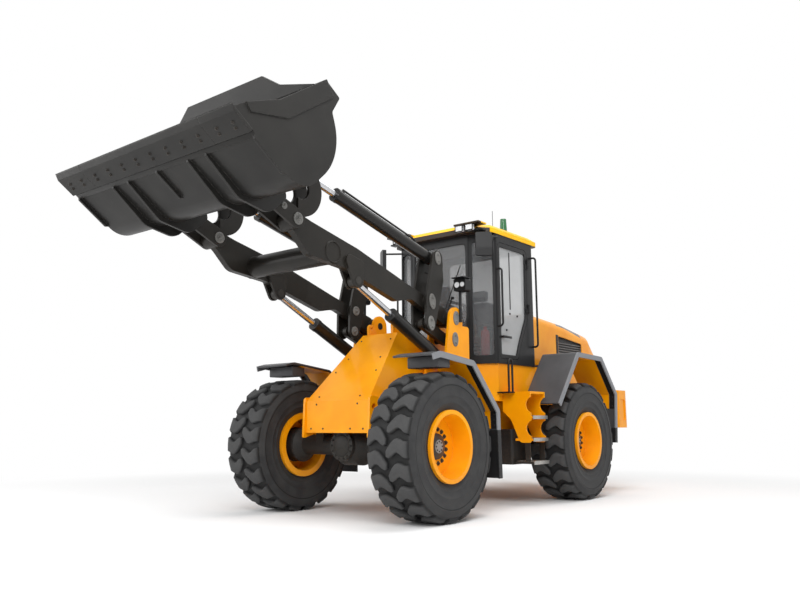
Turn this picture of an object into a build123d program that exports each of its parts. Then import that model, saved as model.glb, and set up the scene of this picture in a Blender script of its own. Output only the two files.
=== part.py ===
# Articulated wheel loader: rear frame with cab and engine, front frame with lift arms and bucket.
# Millimetres. X forward, Y left, Z up. The steering hinge stands on the local Z axis, the ground is Z = 0.
import math
import os

from build123d import *

# Fits
SEAT = 0.3
SLIDE = 0.5
RUN = 4.0

# Wheels
WHEELBASE = 3080.0
TRACK = 2080.0
TYRE_R = 745.0
TYRE_HALF_W = 265.0
SIDEWALL_R = 545.0
SHOULDER_HALF_W = 252.0
BEAD_HALF_W = 210.0
LUG_COUNT = 20
LUG_DEPTH = 52.0
LUG_HALF_W = 215.0
LUG_GAP = 12.0
LUG_SHOULDER = 0.55
RIM_SEAT_R = 318.0
RIM_FLANGE_R = 362.0
RIM_HALF_W = 250.0
RIM_WALL = 22.0
RIM_LIP = 37.0
DISC_W = (20.0, 45.0)
HUB_R = 128.0
HUB_FACE_R = 64.0
HUB_W = 88.0
HUB_BACK_W = -60.0
X_FRONT = WHEELBASE / 2
X_REAR = -WHEELBASE / 2
WHEEL_Y = TRACK / 2

# Axles
SPINDLE_R = 60.0
SPINDLE_W = 12.0
AXLE_TUBE_R = 110.0
DRUM_R = 185.0
DRUM_W = (-240.0, -80.0)
DRUM_TAPER = 70.0
DIFF_R = 215.0
DIFF_HALF_W = 120.0
DIFF_TAPER = 130.0
COVER_R = 160.0
COVER_REACH = 232.0
PINION_R = (150.0, 85.0)
PINION_REACH = 430.0
PAD_HALF_X = 110.0
PAD_HALF_Y = 55.0

# Lift linkage, as points (x, z) in the plane of an arm
ARM_Y = 575.0
ARM_T = 80.0
ARM_PIVOT = (626.0, 2173.0)
LINK_ANCHOR = (650.0, 1925.0)
LEVER_PIVOT = (1030.0, 2325.0)
LINK_PIN = (
    LEVER_PIVOT[0] + LINK_ANCHOR[0] - ARM_PIVOT[0],
    LEVER_PIVOT[1] + LINK_ANCHOR[1] - ARM_PIVOT[1],
)
TILT_BASE = (915.0, 2838.0)
BUCKET_PIVOT = (3100.0, 2854.0)
TILT_EYE = (
    BUCKET_PIVOT[0] + TILT_BASE[0] - LEVER_PIVOT[0],
    BUCKET_PIVOT[1] + TILT_BASE[1] - LEVER_PIVOT[1],
)
LIFT_BASE = (620.0, 1640.0)
LIFT_EYE = (2215.0, 2400.0)
CROSS_TUBE = (2555.0, 2640.0)
CROSS_TUBE_R = 115.0
PIN_R = 42.0
PIN_END = 3.0
LEVER_BACK = (890.0, 2600.0)
LEVER_BACK_R = 80.0
# columns: x, z, corner radius
ARM_LINE = (
    (640, 2270, 60), (1350, 2470, 300), (2200, 2735, 300), (2850, 2885, 200), (3060, 2945, 40), (3185, 2830, 40),
    (3060, 2735, 40), (2880, 2560, 160), (2400, 2510, 80), (1562, 2272, 160), (1315, 2322, 160), (660, 2081, 60),
)
ARM_BOSS_R = 98.0
LEVER_BOSS_R = 80.0
BUCKET_BOSS_R = 92.0

# Plates that straddle an arm: gap to the arm, thickness
CHEEK_GAP = 40.0
CHEEK_T = 30.0
CHEEK_IN = ARM_T / 2 + CHEEK_GAP
CHEEK_OUT = CHEEK_IN + CHEEK_T
TOWER_GAP = 8.0
TOWER_IN = CHEEK_OUT + TOWER_GAP
TOWER_T = 30.0
TOWER_OUT = TOWER_IN + TOWER_T
PIN_HEAD = 6.0

# Rams
LIFT_BARREL_R = 72.0
LIFT_ROD_R = 36.0
LIFT_GLAND = 1120.0
LIFT_ROD_INSIDE = 640.0
LIFT_NECK = 45.0
TILT_BARREL_R = 68.0
TILT_ROD_R = 36.0
TILT_GLAND = 1640.0
TILT_ROD_INSIDE = 260.0
TILT_NECK = 130.0
STEER_BARREL_R = 48.0
STEER_ROD_R = 26.0
STEER_GLAND = 640.0
STEER_ROD_INSIDE = 330.0
STEER_NECK = 45.0
EYE_R = 64.0
EYE_HALF_W = 30.0
LUG_R = 74.0
LUG_T = 28.0
RAM_WALL = 14.0
RAM_CAP = 70.0
COLLAR = 5.0
COLLAR_LEN = 55.0
LINE_R = 11.0
LINE_STAND = 20.0
LINE_SPAN = (330.0, 1560.0)
LINE_Y = 22.0

# Steering hinge and steering rams
HINGE_R = 115.0
HINGE_PIN_R = 48.0
HINGE_PIN_REACH = 70.0
HINGE_LEVELS = (600.0, 1040.0)
HINGE_T = 50.0
HINGE_LUG_T = 35.0
STEER_BASE = (-750.0, 285.0)
STEER_EYE = (250.0, 285.0)
STEER_Z = 800.0
STEER_EYE_R = 50.0
STEER_EYE_HALF = 30.0
STEER_BASE_HALF = 40.0
STEER_PIN_R = 24.0
STEER_LUG_Z = 55.0
STEER_LUG_T = 30.0

# Bucket, drawn floor down with its hinge at the origin, then rolled back
ROLL_BACK = 35.5
BUCKET_HALF_W = 1330.0
SHEET = 25.0
CUTTER_T = 12.0
FLOOR_V = -335.0
EDGE_U = 1371.0
EDGE_LEN = 260.0
EDGE_T = 30.0
EDGE_BEVEL = 60.0
EDGE_SPLIT_Y = 900.0
EDGE_JOINT = 2.0
FLOOR_U = EDGE_U - 30.0
HEEL = (430.0, FLOOR_V, 260.0)
BACK = (311.0, 294.0, 480.0)
NECK = (637.0, 531.0, 40.0)
LIP_REAR = (652.0, 713.0, 20.0)
LIP_FRONT = (862.0, 704.0, 20.0)
SIDE_BEND = (1079.0, 107.0, 60.0)
SIDE_LOW = (1287.0, -209.0, 0.0)
CUTTER_DEPTH = 165.0
MOUTH_U = 1700.0
GUARD_TOP = (1052.0, 854.0)
GUARD_HALF_W = (560.0, 760.0, 1180.0)
GUARD_SHOULDER = 0.45
RIB_T = 28.0
RIB_GAP = CHEEK_OUT + SEAT + RIB_T / 2
RIB_DEPTH = 60.0
RIB_FRONT_U = 1080.0
SKID_U = (690.0, 1080.0)
SKID_DEPTH = 30.0

# Hooks that carry the bucket: a C about a centre, in the frame of the machine
HOOK_CENTRE = (3065.0, 3155.0)
HOOK_R = 270.0
HOOK_BAND = 165.0
HOOK_MOUTH_X = 3100.0
HOOK_HEAD = (3310.0, 2955.0)
HOOK_HEAD_R = 72.0
HOOK_FOOT = (3430.0, 2960.0)
HOOK_TOP = (3330.0, 3350.0)
HOOK_TOP_R = 72.0
HOOK_TIE = (3150.0, 3240.0, 3310.0, 3400.0)

# Front frame
PLATE = 30.0
FRAME_HALF_W = 462.0
FRAME_TOP_HALF_W = 262.0
FRAME_FRONT_X = X_FRONT + 310.0
FRAME_REAR_X = 330.0
FRAME_LOW_Z = 525.0
FRAME_LOW_LEN = 600.0
FRAME_NOSE_Z = 880.0
FRAME_EAR_Z = 1220.0
FRAME_TOP_Z = 2000.0
FRAME_TOP_X = (660.0, 1130.0)
EAR_LEN = 290.0
EAR_T = 28.0
EAR_PROUD = 32.0
EAR_Z = (820.0, 1275.0)
EAR_HOLE = (82.0, 1150.0, 32.0)
EYE_LUG = (1085.0, 2080.0, 48.0)
EYE_LUG_HOLE_R = 22.0
EYE_LUG_Y = 180.0
EYE_LUG_T = 36.0
TOWER_BASE_X = (420.0, 850.0)
TOWER_BASE_Z = (1080.0, 1180.0)
TOWER_FOOT = ((560.0, 1240.0, 110.0), (800.0, 1240.0, 110.0))
TOWER_TOP_R = 125.0
TOWER_MID_R = 112.0
TOWER_BACK = (365.0, 2090.0)

# Rear frame
REAR_SIDE_Y = 420.0
REAR_FRONT_X = -380.0
REAR_END_X = X_REAR - 1510.0
REAR_LOW_Z = 545.0
REAR_AXLE_LOW_Z = 905.0
REAR_TOP_Z = 1240.0
REAR_ARCH = (380.0, 260.0)
BRIDGE_X = (-1000.0, -960.0)
BRIDGE_Z = 620.0
SADDLE_HALF = 130.0
SADDLE_RISE = 70.0
TONGUE_LEN = 250.0
BAY_HALF_W = 615.0
BAY_TOP_Z = 1745.0
BAY_FRONT_X = X_REAR + 210.0
SKIN = 25.0
ENGINE_X = (X_REAR - 1310.0, X_REAR - 110.0)
ENGINE_HALF_W = 330.0
ENGINE_TOP_Z = 1980.0

# Hood
HOOD_GAP = 5.0
HOOD_FRONT_X = BAY_FRONT_X - HOOD_GAP
HOOD_LOW_Z = 1750.0
HOOD_SKIRT_Z = 1460.0
HOOD_SKIRT_X = REAR_END_X - 15.0
# columns: distance behind the front edge, half-width, top height, edge radius
HOOD_RIBS = (
    (0.0, 615.0, 2450.0, 110.0), (965.0, 615.0, 2390.0, 130.0), (1745.0, 600.0, 2300.0, 160.0), (2070.0, 560.0, 2070.0, 170.0),
)
HOOD_HINGE = (BAY_FRONT_X + 14.0, 2438.0)
HOOD_HINGE_R = 14.0
HOOD_HINGE_Y = (330.0, -450.0)
KNUCKLE = 60.0
GRILLE_X = (745.0, 1500.0)
GRILLE_Z = (1860.0, 2200.0)
GRILLE_DROP = 60.0
SLAT_T = 14.0
SLAT_DEPTH = 18.0
SLAT_COUNT = 7
REAR_GRILLE_HALF_W = 430.0
REAR_GRILLE_Z = (1530.0, 1960.0)
REAR_SLAT_COUNT = 9

# Cab
CAB_FLOOR_Z = 1700.0
CAB_TOP_Z = 3330.0
CAB_HALF_W = 760.0
CAB_REAR_X = BAY_FRONT_X + 180.0
CAB_NOSE = (-60.0, 450.0)
CAB_CORNER_X = -210.0
CAB_WALL = 55.0
CAB_FLOOR_T = 50.0
PLATFORM_IN = 20.0
PLATFORM_REAR = 140.0
PLATFORM_WALL = 40.0
WINDOW_LOW_Z = 1800.0
WINDOW_TOP_Z = 3230.0
WINDOW_R = 70.0
FRONT_GLASS_HALF = 405.0
CORNER_GLASS = (0.13, 0.87)
REAR_GLASS = (600.0, 2350.0)
SIDE_GLASS = (-1040.0, -270.0, 2050.0)
GLASS_T = 10.0
GLASS_IN = 20.0
DOOR_FRONT_X = -250.0
DOOR_REAR_X = CAB_REAR_X + 170.0
DOOR_LOW_Z = 1765.0
DOOR_GAP = 6.0
DOOR_T = 40.0
DOOR_BAR = 52.0
# columns: step in from the rear edge, height, corner radius
DOOR_REAR = ((25.0, 2300.0, 160.0), (185.0, 2000.0, 160.0), (290.0, DOOR_LOW_Z, 75.0))
HINGE_Z = (2450.0, 3050.0)
DOOR_HINGE_R = 14.0
DOOR_HINGE_LEN = 60.0
ROOF_EDGE_T = 60.0
ROOF_T = 118.0
ROOF_SIDE = 10.0
ROOF_NOSE = (60.0, 520.0)
ROOF_CORNER_X = -120.0
ROOF_REAR = 130.0
ROOF_R = 80.0
ROOF_CROWN = 75.0
LAMP_HOOD_Y = (360.0, 730.0)
LAMP_HOOD_X = (-60.0, 122.0)
LAMP_HOOD_T = 20.0
LAMP_HOOD_Z = CAB_TOP_Z + 92.0
ROOF_LAMP_Y = (430.0, 580.0)
ROOF_LAMP_W = 100.0
ROOF_LAMP_H = 76.0
ROOF_LAMP_D = 50.0
SEAT_X = (CAB_REAR_X + 190.0, CAB_REAR_X + 730.0)
SEAT_Z = (1950.0, 2080.0, 2760.0)
SEAT_HALF_W = 255.0
SEAT_BACK_T = 110.0
PEDESTAL = (150.0, 150.0)
COLUMN = ((-180.0, CAB_FLOOR_Z + CAB_FLOOR_T), (-345.0, 2480.0))
COLUMN_R = 45.0
STEERING_WHEEL_R = 190.0
STEERING_GRIP = 28.0

# Fenders, paths of the sheet from the wheel's centre; columns: x, z, corner radius
FENDER_IN_Y = 790.0
FENDER_OUT_Y = 1300.0
FENDER_T = 20.0
FENDER_LIP = 62.0
FENDER_LIP_T = 16.0
REAR_FENDER = ((820, 470, 0), (260, 1131, 70), (-460, 1111, 70), (-910, 625, 60), (-845, -45, 0))
FRONT_FENDER = ((320, 905, 0), (190, 938, 90), (-410, 875, 80), (-890, 365, 60), (-910, -355, 0))
REAR_STAY_X = (-360.0, 190.0)
REAR_STAY_T = 40.0
FRONT_STAY_X = (-910.0, -780.0)
FRONT_STAY_Z = (1120.0, 1200.0)

# Counterweight
WEIGHT_HALF_W = 1100.0
WEIGHT_TAIL_HALF_W = 880.0
WEIGHT_Z = (900.0, 1440.0)
WEIGHT_RISE = 130.0
WEIGHT_REAR_X = REAR_END_X - 450.0
WEIGHT_FRONT_X = REAR_END_X + 150.0
WEIGHT_TAPER = 280.0
WEIGHT_NECK_HALF = (640.0, 700.0)
WEIGHT_R = 60.0
WEIGHT_PANEL = (190.0, 300.0, 14.0)
WEIGHT_PANEL_IN = 75.0
HITCH_BORE_R = 25.0
HITCH_X = 55.0
HITCH_SLOT = (110.0, 130.0, 1080.0, 1200.0)
HITCH_FLOOR_Z = 1000.0

# Steps and boxes beside the frame
STEP_REAR_X = X_REAR + TYRE_R + 115.0
STEP_LEN = 360.0
STEP_Y = (880.0, 1125.0)
STEP_TOP_Z = 1350.0
TREAD_Z = (520.0, 790.0, 1055.0)
TREAD_T = 28.0
TREAD_OUT = 28.0
STRINGER_T = 20.0
STRINGER_LOW_Z = 740.0
SCALLOP_R = 100.0
STRAP = (70.0, 8.0)
BOX_REAR_X = X_REAR + TYRE_R + 25.0
BOX_LEN = 470.0
BOX_OUT_Y = 870.0
BOX_Z = (480.0, 900.0)

# Lamps, mirrors, rails
LAMP_AT = (560.0, 775.0, 2560.0)
LAMP_SIZE = (120.0, 165.0, 150.0)
LAMP_R = 30.0
LAMP_POST_R = 18.0
LAMP_POST_Z = 2130.0
MIRROR_AT = (120.0, 800.0, 3130.0)
MIRROR_SIZE = (50.0, 200.0, 290.0)
MIRROR_TURN = 40.0
MIRROR_R = 24.0
MIRROR_ARM_R = 12.0
RAIL_R = 13.0
RAIL_BEND = 40.0
PILLAR_RAIL_X = -227.0
PILLAR_RAIL_Z = (2160.0, 2880.0)
DOOR_RAIL_X = CAB_REAR_X + 65.0
DOOR_RAIL_Z = (1960.0, 3150.0)
RAIL_STAND = 75.0
LOOP_X = (-300.0, -215.0)
LOOP_Y = 900.0
LOOP_TOP_Z = 1740.0
LOOP_FOOT_T = 15.0
BEACON_AT = (-1180.0, 300.0)
BEACON_POLE_R = 14.0
BEACON_Z = (3600.0, 3790.0)
BEACON_R = (52.0, 42.0)

# Middle of the whole machine along X, moved to the origin on export
BUCKET_C = math.cos(math.radians(ROLL_BACK))
BUCKET_S = math.sin(math.radians(ROLL_BACK))
FRONT_TIP_X = BUCKET_PIVOT[0] + EDGE_U * BUCKET_C - (FLOOR_V - SEAT) * BUCKET_S
X_MIDDLE = (FRONT_TIP_X + WEIGHT_REAR_X) / 2

LAYS = {
    "x": (lambda a, b, at: (at, a, b), (1, 0, 0)),
    "y": (lambda a, b, at: (a, at, b), (0, 1, 0)),
    "z": (lambda a, b, at: (a, b, at), (0, 0, 1)),
}
ON_AXIS = (Align.CENTER, Align.CENTER, Align.MIN)


def outline(axis, corners, at):
    """Face square to an axis. Its corners are (a, b) or (a, b, radius), joined by lines and rounded by arcs."""
    lay = LAYS[axis][0]
    turns = []
    for i, corner in enumerate(corners):
        here = Vector(corner[0], corner[1])
        if len(corner) < 3 or corner[2] <= 0:
            turns.append((here, None, here))
            continue
        back = (Vector(*corners[i - 1][:2]) - here).normalized()
        ahead = (Vector(*corners[(i + 1) % len(corners)][:2]) - here).normalized()
        half = math.acos(max(-1.0, min(1.0, back.dot(ahead)))) / 2
        reach = corner[2] / math.tan(half)
        middle = (back + ahead).normalized()
        crown = here + middle * (corner[2] / math.sin(half) - corner[2])
        turns.append((here + back * reach, crown, here + ahead * reach))
    edges = []
    for i, (start, crown, end) in enumerate(turns):
        if crown is not None:
            edges.append(ThreePointArc(*[lay(p.X, p.Y, at) for p in (start, crown, end)]))
        onward = turns[(i + 1) % len(turns)][0]
        if (onward - end).length > 1e-6:
            edges.append(Line(lay(end.X, end.Y, at), lay(onward.X, onward.Y, at)))
    return make_face(Wire(edges))


def slab(axis, corners, low, high):
    """Plate square to an axis between two places on it."""
    return extrude(outline(axis, corners, low), amount=high - low, dir=LAYS[axis][1])


def block(x0, x1, y0, y1, z0, z1):
    """Box between six limits."""
    middle = Pos((x0 + x1) / 2, (y0 + y1) / 2, (z0 + z1) / 2)
    return middle * Box(abs(x1 - x0), abs(y1 - y0), abs(z1 - z0))


def hull_y(circles, y0, y1):
    """Plate whose outline wraps circles (x, z, r), between two Y values."""
    rings = [(Pos(x, z) * Circle(r)).edges()[0] for x, z, r in circles]
    face = Pos(0, y0, 0) * (Plane.XZ * make_hull(rings))
    return extrude(face, amount=y1 - y0, dir=(0, 1, 0))


def pin_x(y, z, r, x0, x1):
    """Round pin along X."""
    return Pos((x0 + x1) / 2, y, z) * Rot(0, 90, 0) * Cylinder(r, abs(x1 - x0))


def pin_y(point, r, y0, y1):
    """Round pin along Y."""
    return Pos(point[0], (y0 + y1) / 2, point[1]) * Rot(90, 0, 0) * Cylinder(r, abs(y1 - y0))


def pin_z(x, y, r, z0, z1):
    """Round pin along Z."""
    return Pos(x, y, (z0 + z1) / 2) * Cylinder(r, abs(z1 - z0))


def bar(p0, p1, r):
    """Round bar between two points in space."""
    a = Vector(*p0)
    b = Vector(*p1)
    return Plane(origin=a, z_dir=b - a) * Cylinder(r, (b - a).length, align=ON_AXIS)


def tube(points, r, bend):
    """Round bar along runs that are joined by bends."""
    path = FilletPolyline(points, radius=bend)
    return sweep(Plane(origin=path @ 0, z_dir=path % 0) * Circle(r), path=path)


def both(shape):
    """A left piece and its mirror image on the right."""
    return Compound([*shape.solids(), *mirror(shape, about=Plane.XZ).solids()])


def between(p0, p1, distance):
    """Point at a distance from p0 towards p1."""
    length = math.dist(p0, p1)
    return tuple(a + (b - a) * distance / length for a, b in zip(p0, p1))


def straddle(builder, inner, outer):
    """Two equal plates on both sides of the arm plane."""
    return builder(ARM_Y + inner, ARM_Y + outer), builder(ARM_Y - outer, ARM_Y - inner)


def at_arm(point):
    """Point of the linkage in the plane of the left arm."""
    return (point[0], ARM_Y, point[1])


def bent_sheet(path, centre, thick):
    """Closed outline of a bent sheet that lies inside a path, on the side of a centre."""
    def inward(p, q):
        length = math.dist(p[:2], q[:2])
        n = (-(q[1] - p[1]) / length, (q[0] - p[0]) / length)
        towards = (centre[0] - p[0]) * n[0] + (centre[1] - p[1]) * n[1]
        return n if towards > 0 else (-n[0], -n[1])

    normals = [inward(p, q) for p, q in zip(path, path[1:])]
    inner = []
    for i, (x, z, r) in enumerate(path):
        before = normals[max(i - 1, 0)]
        after = normals[min(i, len(normals) - 1)]
        scale = thick / (1 + before[0] * after[0] + before[1] * after[1])
        inner.append((x + (before[0] + after[0]) * scale, z + (before[1] + after[1]) * scale, max(r - thick, 0)))
    return [*path, *reversed(inner)]


def tyre():
    """Tyre about the Y axis: a carcass of flat facets with two rows of lugs set half a pitch apart."""
    pitch = 360 / LUG_COUNT
    facet = pitch / 2
    stretch = 1 / math.cos(math.radians(facet / 2))
    root_r = TYRE_R - LUG_DEPTH

    def spot(angle, r, w):
        turn = math.radians(angle - 90)
        return (r * math.cos(turn), w, r * math.sin(turn))

    def ring(w, flat_r):
        corners = [spot((i + 0.5) * facet, flat_r * stretch, w) for i in range(2 * LUG_COUNT)]
        return make_face(Polyline(corners, close=True))

    def lug_section(w, phase, share):
        corners = []
        for i in range(LUG_COUNT):
            for side in (-1, 1):
                foot = Vector(*spot(i * pitch + phase + side * pitch / 3, root_r - RIM_WALL, w))
                tip = Vector(*spot(i * pitch + phase + side * facet / 2, TYRE_R * stretch, w))
                top = foot + (tip - foot) * share
                corners += [foot, top] if side < 0 else [top, foot]
        return make_face(Polyline(corners, close=True))

    walls = ((BEAD_HALF_W, RIM_FLANGE_R + RUN), (TYRE_HALF_W, SIDEWALL_R), (SHOULDER_HALF_W, root_r))
    rings = [ring(-w, r) for w, r in walls] + [ring(w, r) for w, r in reversed(walls)]
    def core(flat_r):
        return extrude(ring(-TYRE_HALF_W, flat_r), amount=2 * TYRE_HALF_W, dir=(0, 1, 0))

    body = loft(rings, ruled=True)
    for side, phase in ((1, 0.0), (-1, facet)):
        stations = ((LUG_GAP / 2, 1.0), (LUG_HALF_W, 1.0), (SHOULDER_HALF_W - 2, LUG_SHOULDER))
        row = loft([lug_section(side * w, phase, share) for w, share in stations], ruled=True)
        body += row - core(root_r - LUG_DEPTH)
    return body - core(RIM_SEAT_R + SEAT)


def rim():
    """Deep rim about the Y axis with its disc and planet hub, outer face towards +Y."""
    inner_r = RIM_SEAT_R - RIM_WALL
    section = [
        (-RIM_HALF_W, RIM_FLANGE_R),
        (-RIM_HALF_W, inner_r),
        (DISC_W[0], inner_r),
        (DISC_W[0], HUB_R),
        (HUB_BACK_W, HUB_R),
        (HUB_BACK_W, SPINDLE_R),
        (SPINDLE_W + RUN, SPINDLE_R),
        (SPINDLE_W + RUN, 0),
        (HUB_W, 0),
        (HUB_W, HUB_FACE_R),
        ((HUB_W + DISC_W[1]) / 2, HUB_R),
        (DISC_W[1], HUB_R),
        (DISC_W[1], inner_r),
        (RIM_HALF_W, RIM_SEAT_R),
        (RIM_HALF_W, RIM_FLANGE_R),
        (RIM_HALF_W - RIM_LIP, RIM_FLANGE_R),
        (RIM_HALF_W - RIM_LIP, RIM_SEAT_R),
        (-RIM_HALF_W + RIM_LIP, RIM_SEAT_R),
        (-RIM_HALF_W + RIM_LIP, RIM_FLANGE_R),
    ]
    return revolve(make_face(Polyline([(0, w, r) for w, r in section], close=True)), Axis.Y)


def axle(x, pad_y, pad_top, nose):
    """Axle housing: differential with its cover and pinion nose, tubes, wheel-end drums and two pads."""
    half = [
        (0, DIFF_R),
        (DIFF_HALF_W, DIFF_R),
        (DIFF_HALF_W + DIFF_TAPER, AXLE_TUBE_R),
        (WHEEL_Y + DRUM_W[0] - DRUM_TAPER, AXLE_TUBE_R),
        (WHEEL_Y + DRUM_W[0], DRUM_R),
        (WHEEL_Y + DRUM_W[1], DRUM_R),
        (WHEEL_Y + DRUM_W[1], SPINDLE_R - SLIDE),
        (WHEEL_Y + SPINDLE_W, SPINDLE_R - SLIDE),
        (WHEEL_Y + SPINDLE_W, 0),
    ]
    line = [(-y, r) for y, r in reversed(half[1:])] + half[1:]
    housing = revolve(make_face(Polyline([(0, y, r) for y, r in line], close=True)), Axis.Y)
    housing += Rot(0, 90 * -nose, 0) * Cylinder(COVER_R, COVER_REACH, align=ON_AXIS)
    housing += Rot(0, 90 * nose, 0) * Cone(PINION_R[0], PINION_R[1], PINION_REACH, align=ON_AXIS)
    body = Pos(x, 0, TYRE_R) * housing
    for side in (1, -1):
        y = side * pad_y
        body += block(x - PAD_HALF_X, x + PAD_HALF_X, y - PAD_HALF_Y, y + PAD_HALF_Y, TYRE_R, pad_top - SEAT)
    return body


def wheels_and_axles():
    """Four wheels and the two axles."""
    parts = {}
    rubber = tyre()
    steel = rim()
    for name, x, side in (
        ("front_left", X_FRONT, 1),
        ("front_right", X_FRONT, -1),
        ("rear_left", X_REAR, 1),
        ("rear_right", X_REAR, -1),
    ):
        place = Pos(x, side * WHEEL_Y, TYRE_R) * Rot(0, 0, 0 if side > 0 else 180)
        parts["tyre_" + name] = place * rubber
        parts["rim_" + name] = place * steel
    parts["front_axle"] = axle(X_FRONT, FRAME_HALF_W - PLATE / 2, FRAME_NOSE_Z, -1)
    parts["rear_axle"] = axle(X_REAR, REAR_SIDE_Y, REAR_AXLE_LOW_Z, 1)
    return parts


def rear_frame():
    """Rear chassis with hinge tongues and engine tub, engine and counterweight."""
    parts = {}
    side_line = [
        (REAR_FRONT_X, REAR_LOW_Z), (X_REAR + REAR_ARCH[0], REAR_LOW_Z + 60, 60),
        (X_REAR + REAR_ARCH[1], REAR_AXLE_LOW_Z, 60), (REAR_END_X, REAR_AXLE_LOW_Z),
        (REAR_END_X, REAR_TOP_Z), (REAR_FRONT_X, REAR_TOP_Z),
    ]
    chassis = slab("y", side_line, REAR_SIDE_Y - PLATE / 2, REAR_SIDE_Y + PLATE / 2)
    chassis += slab("y", side_line, -REAR_SIDE_Y - PLATE / 2, -REAR_SIDE_Y + PLATE / 2)
    root = REAR_FRONT_X - TONGUE_LEN
    for z in HINGE_LEVELS:
        tongue = [(0, HINGE_R), (0, -HINGE_R), (root, -REAR_SIDE_Y), (root, REAR_SIDE_Y)]
        chassis += slab("z", tongue, z - HINGE_T / 2, z + HINGE_T / 2)
        chassis += pin_z(0, 0, HINGE_R, z - HINGE_T / 2, z + HINGE_T / 2)
        chassis -= pin_z(0, 0, HINGE_PIN_R + SLIDE, z - HINGE_T, z + HINGE_T)
    chassis += block(*BRIDGE_X, -REAR_SIDE_Y, REAR_SIDE_Y, BRIDGE_Z, REAR_TOP_Z)
    saddle_z = REAR_AXLE_LOW_Z + SADDLE_RISE
    chassis += block(X_REAR - SADDLE_HALF, X_REAR + SADDLE_HALF, -REAR_SIDE_Y, REAR_SIDE_Y, saddle_z, REAR_TOP_Z)
    tub = block(REAR_END_X, BAY_FRONT_X - HOOD_GAP, -BAY_HALF_W, BAY_HALF_W, REAR_TOP_Z, BAY_TOP_Z)
    inside = BAY_HALF_W - SKIN
    tub -= block(REAR_END_X + SKIN, BAY_FRONT_X, -inside, inside, REAR_TOP_Z + SKIN, BAY_TOP_Z + 1)
    chassis += tub
    wall_half = BAY_HALF_W - HOOD_HINGE_R - 1
    wall_x = BAY_FRONT_X + SKIN
    chassis += block(BAY_FRONT_X, wall_x, -wall_half, wall_half, REAR_TOP_Z, HOOD_HINGE[1] - HOOD_HINGE_R)
    chassis += block(BAY_FRONT_X - HOOD_GAP - 1, wall_x, -wall_half, wall_half, REAR_TOP_Z, BAY_TOP_Z)
    for y in HOOD_HINGE_Y:
        y0 = y + KNUCKLE + SEAT
        y1 = y + 2 * KNUCKLE
        chassis += pin_y(HOOD_HINGE, HOOD_HINGE_R, y0, y1)
        chassis += block(BAY_FRONT_X, wall_x, y0, y1, HOOD_HINGE[1] - 3 * HOOD_HINGE_R, HOOD_HINGE[1])
    x, y = STEER_BASE
    for side in (1, -1):
        edge = (side * (y - 60), side * REAR_SIDE_Y)
        for z0 in (STEER_Z - STEER_LUG_Z - STEER_LUG_T, STEER_Z + STEER_LUG_Z):
            chassis += block(x - 70, x + 40, min(edge), max(edge), z0, z0 + STEER_LUG_T)
        reach = STEER_LUG_Z + STEER_LUG_T
        chassis += pin_z(x, side * y, STEER_PIN_R, STEER_Z - reach, STEER_Z + reach)
    parts["rear_chassis"] = chassis

    floor_z = REAR_TOP_Z + SKIN + SEAT
    parts["engine_block"] = block(*ENGINE_X, -ENGINE_HALF_W, ENGINE_HALF_W, floor_z, ENGINE_TOP_Z)

    tail_x = WEIGHT_REAR_X + WEIGHT_TAPER
    half_plan = [
        (REAR_END_X - SEAT, WEIGHT_NECK_HALF[0]), (WEIGHT_FRONT_X, WEIGHT_NECK_HALF[1]),
        (WEIGHT_FRONT_X, WEIGHT_HALF_W, WEIGHT_R), (tail_x, WEIGHT_HALF_W, 2 * WEIGHT_R),
        (WEIGHT_REAR_X, WEIGHT_TAIL_HALF_W, WEIGHT_R),
    ]
    plan = half_plan + [(p[0], -p[1], *p[2:]) for p in reversed(half_plan)]
    profile = [
        (WEIGHT_FRONT_X + 1, WEIGHT_Z[0]), (WEIGHT_FRONT_X + 1, WEIGHT_Z[1]),
        (WEIGHT_REAR_X - 1, WEIGHT_Z[1]), (WEIGHT_REAR_X - 1, WEIGHT_Z[0] + WEIGHT_RISE), (tail_x, WEIGHT_Z[0]),
    ]
    weight = slab("z", plan, *WEIGHT_Z) & slab("y", profile, -WEIGHT_HALF_W - 1, WEIGHT_HALF_W + 1)
    panel_x, panel_z, panel_d = WEIGHT_PANEL
    panel = [
        (WEIGHT_FRONT_X - WEIGHT_PANEL_IN, WEIGHT_Z[0] + 110, 40), (WEIGHT_FRONT_X - WEIGHT_PANEL_IN - panel_x, WEIGHT_Z[0] + 110, 40),
        (WEIGHT_FRONT_X - WEIGHT_PANEL_IN - panel_x, WEIGHT_Z[0] + 110 + panel_z, 40),
        (WEIGHT_FRONT_X - WEIGHT_PANEL_IN, WEIGHT_Z[0] + 110 + panel_z, 40),
    ]
    weight -= slab("y", panel, WEIGHT_HALF_W - panel_d, WEIGHT_HALF_W + 1)
    weight -= slab("y", panel, -WEIGHT_HALF_W - 1, -WEIGHT_HALF_W + panel_d)
    depth, half, low, high = HITCH_SLOT
    weight -= block(WEIGHT_REAR_X - 1, WEIGHT_REAR_X + depth, -half, half, low, high)
    weight -= pin_z(WEIGHT_REAR_X + HITCH_X, 0, HITCH_BORE_R, HITCH_FLOOR_Z, WEIGHT_Z[1] + 1)
    parts["counterweight"] = weight
    return parts


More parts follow.
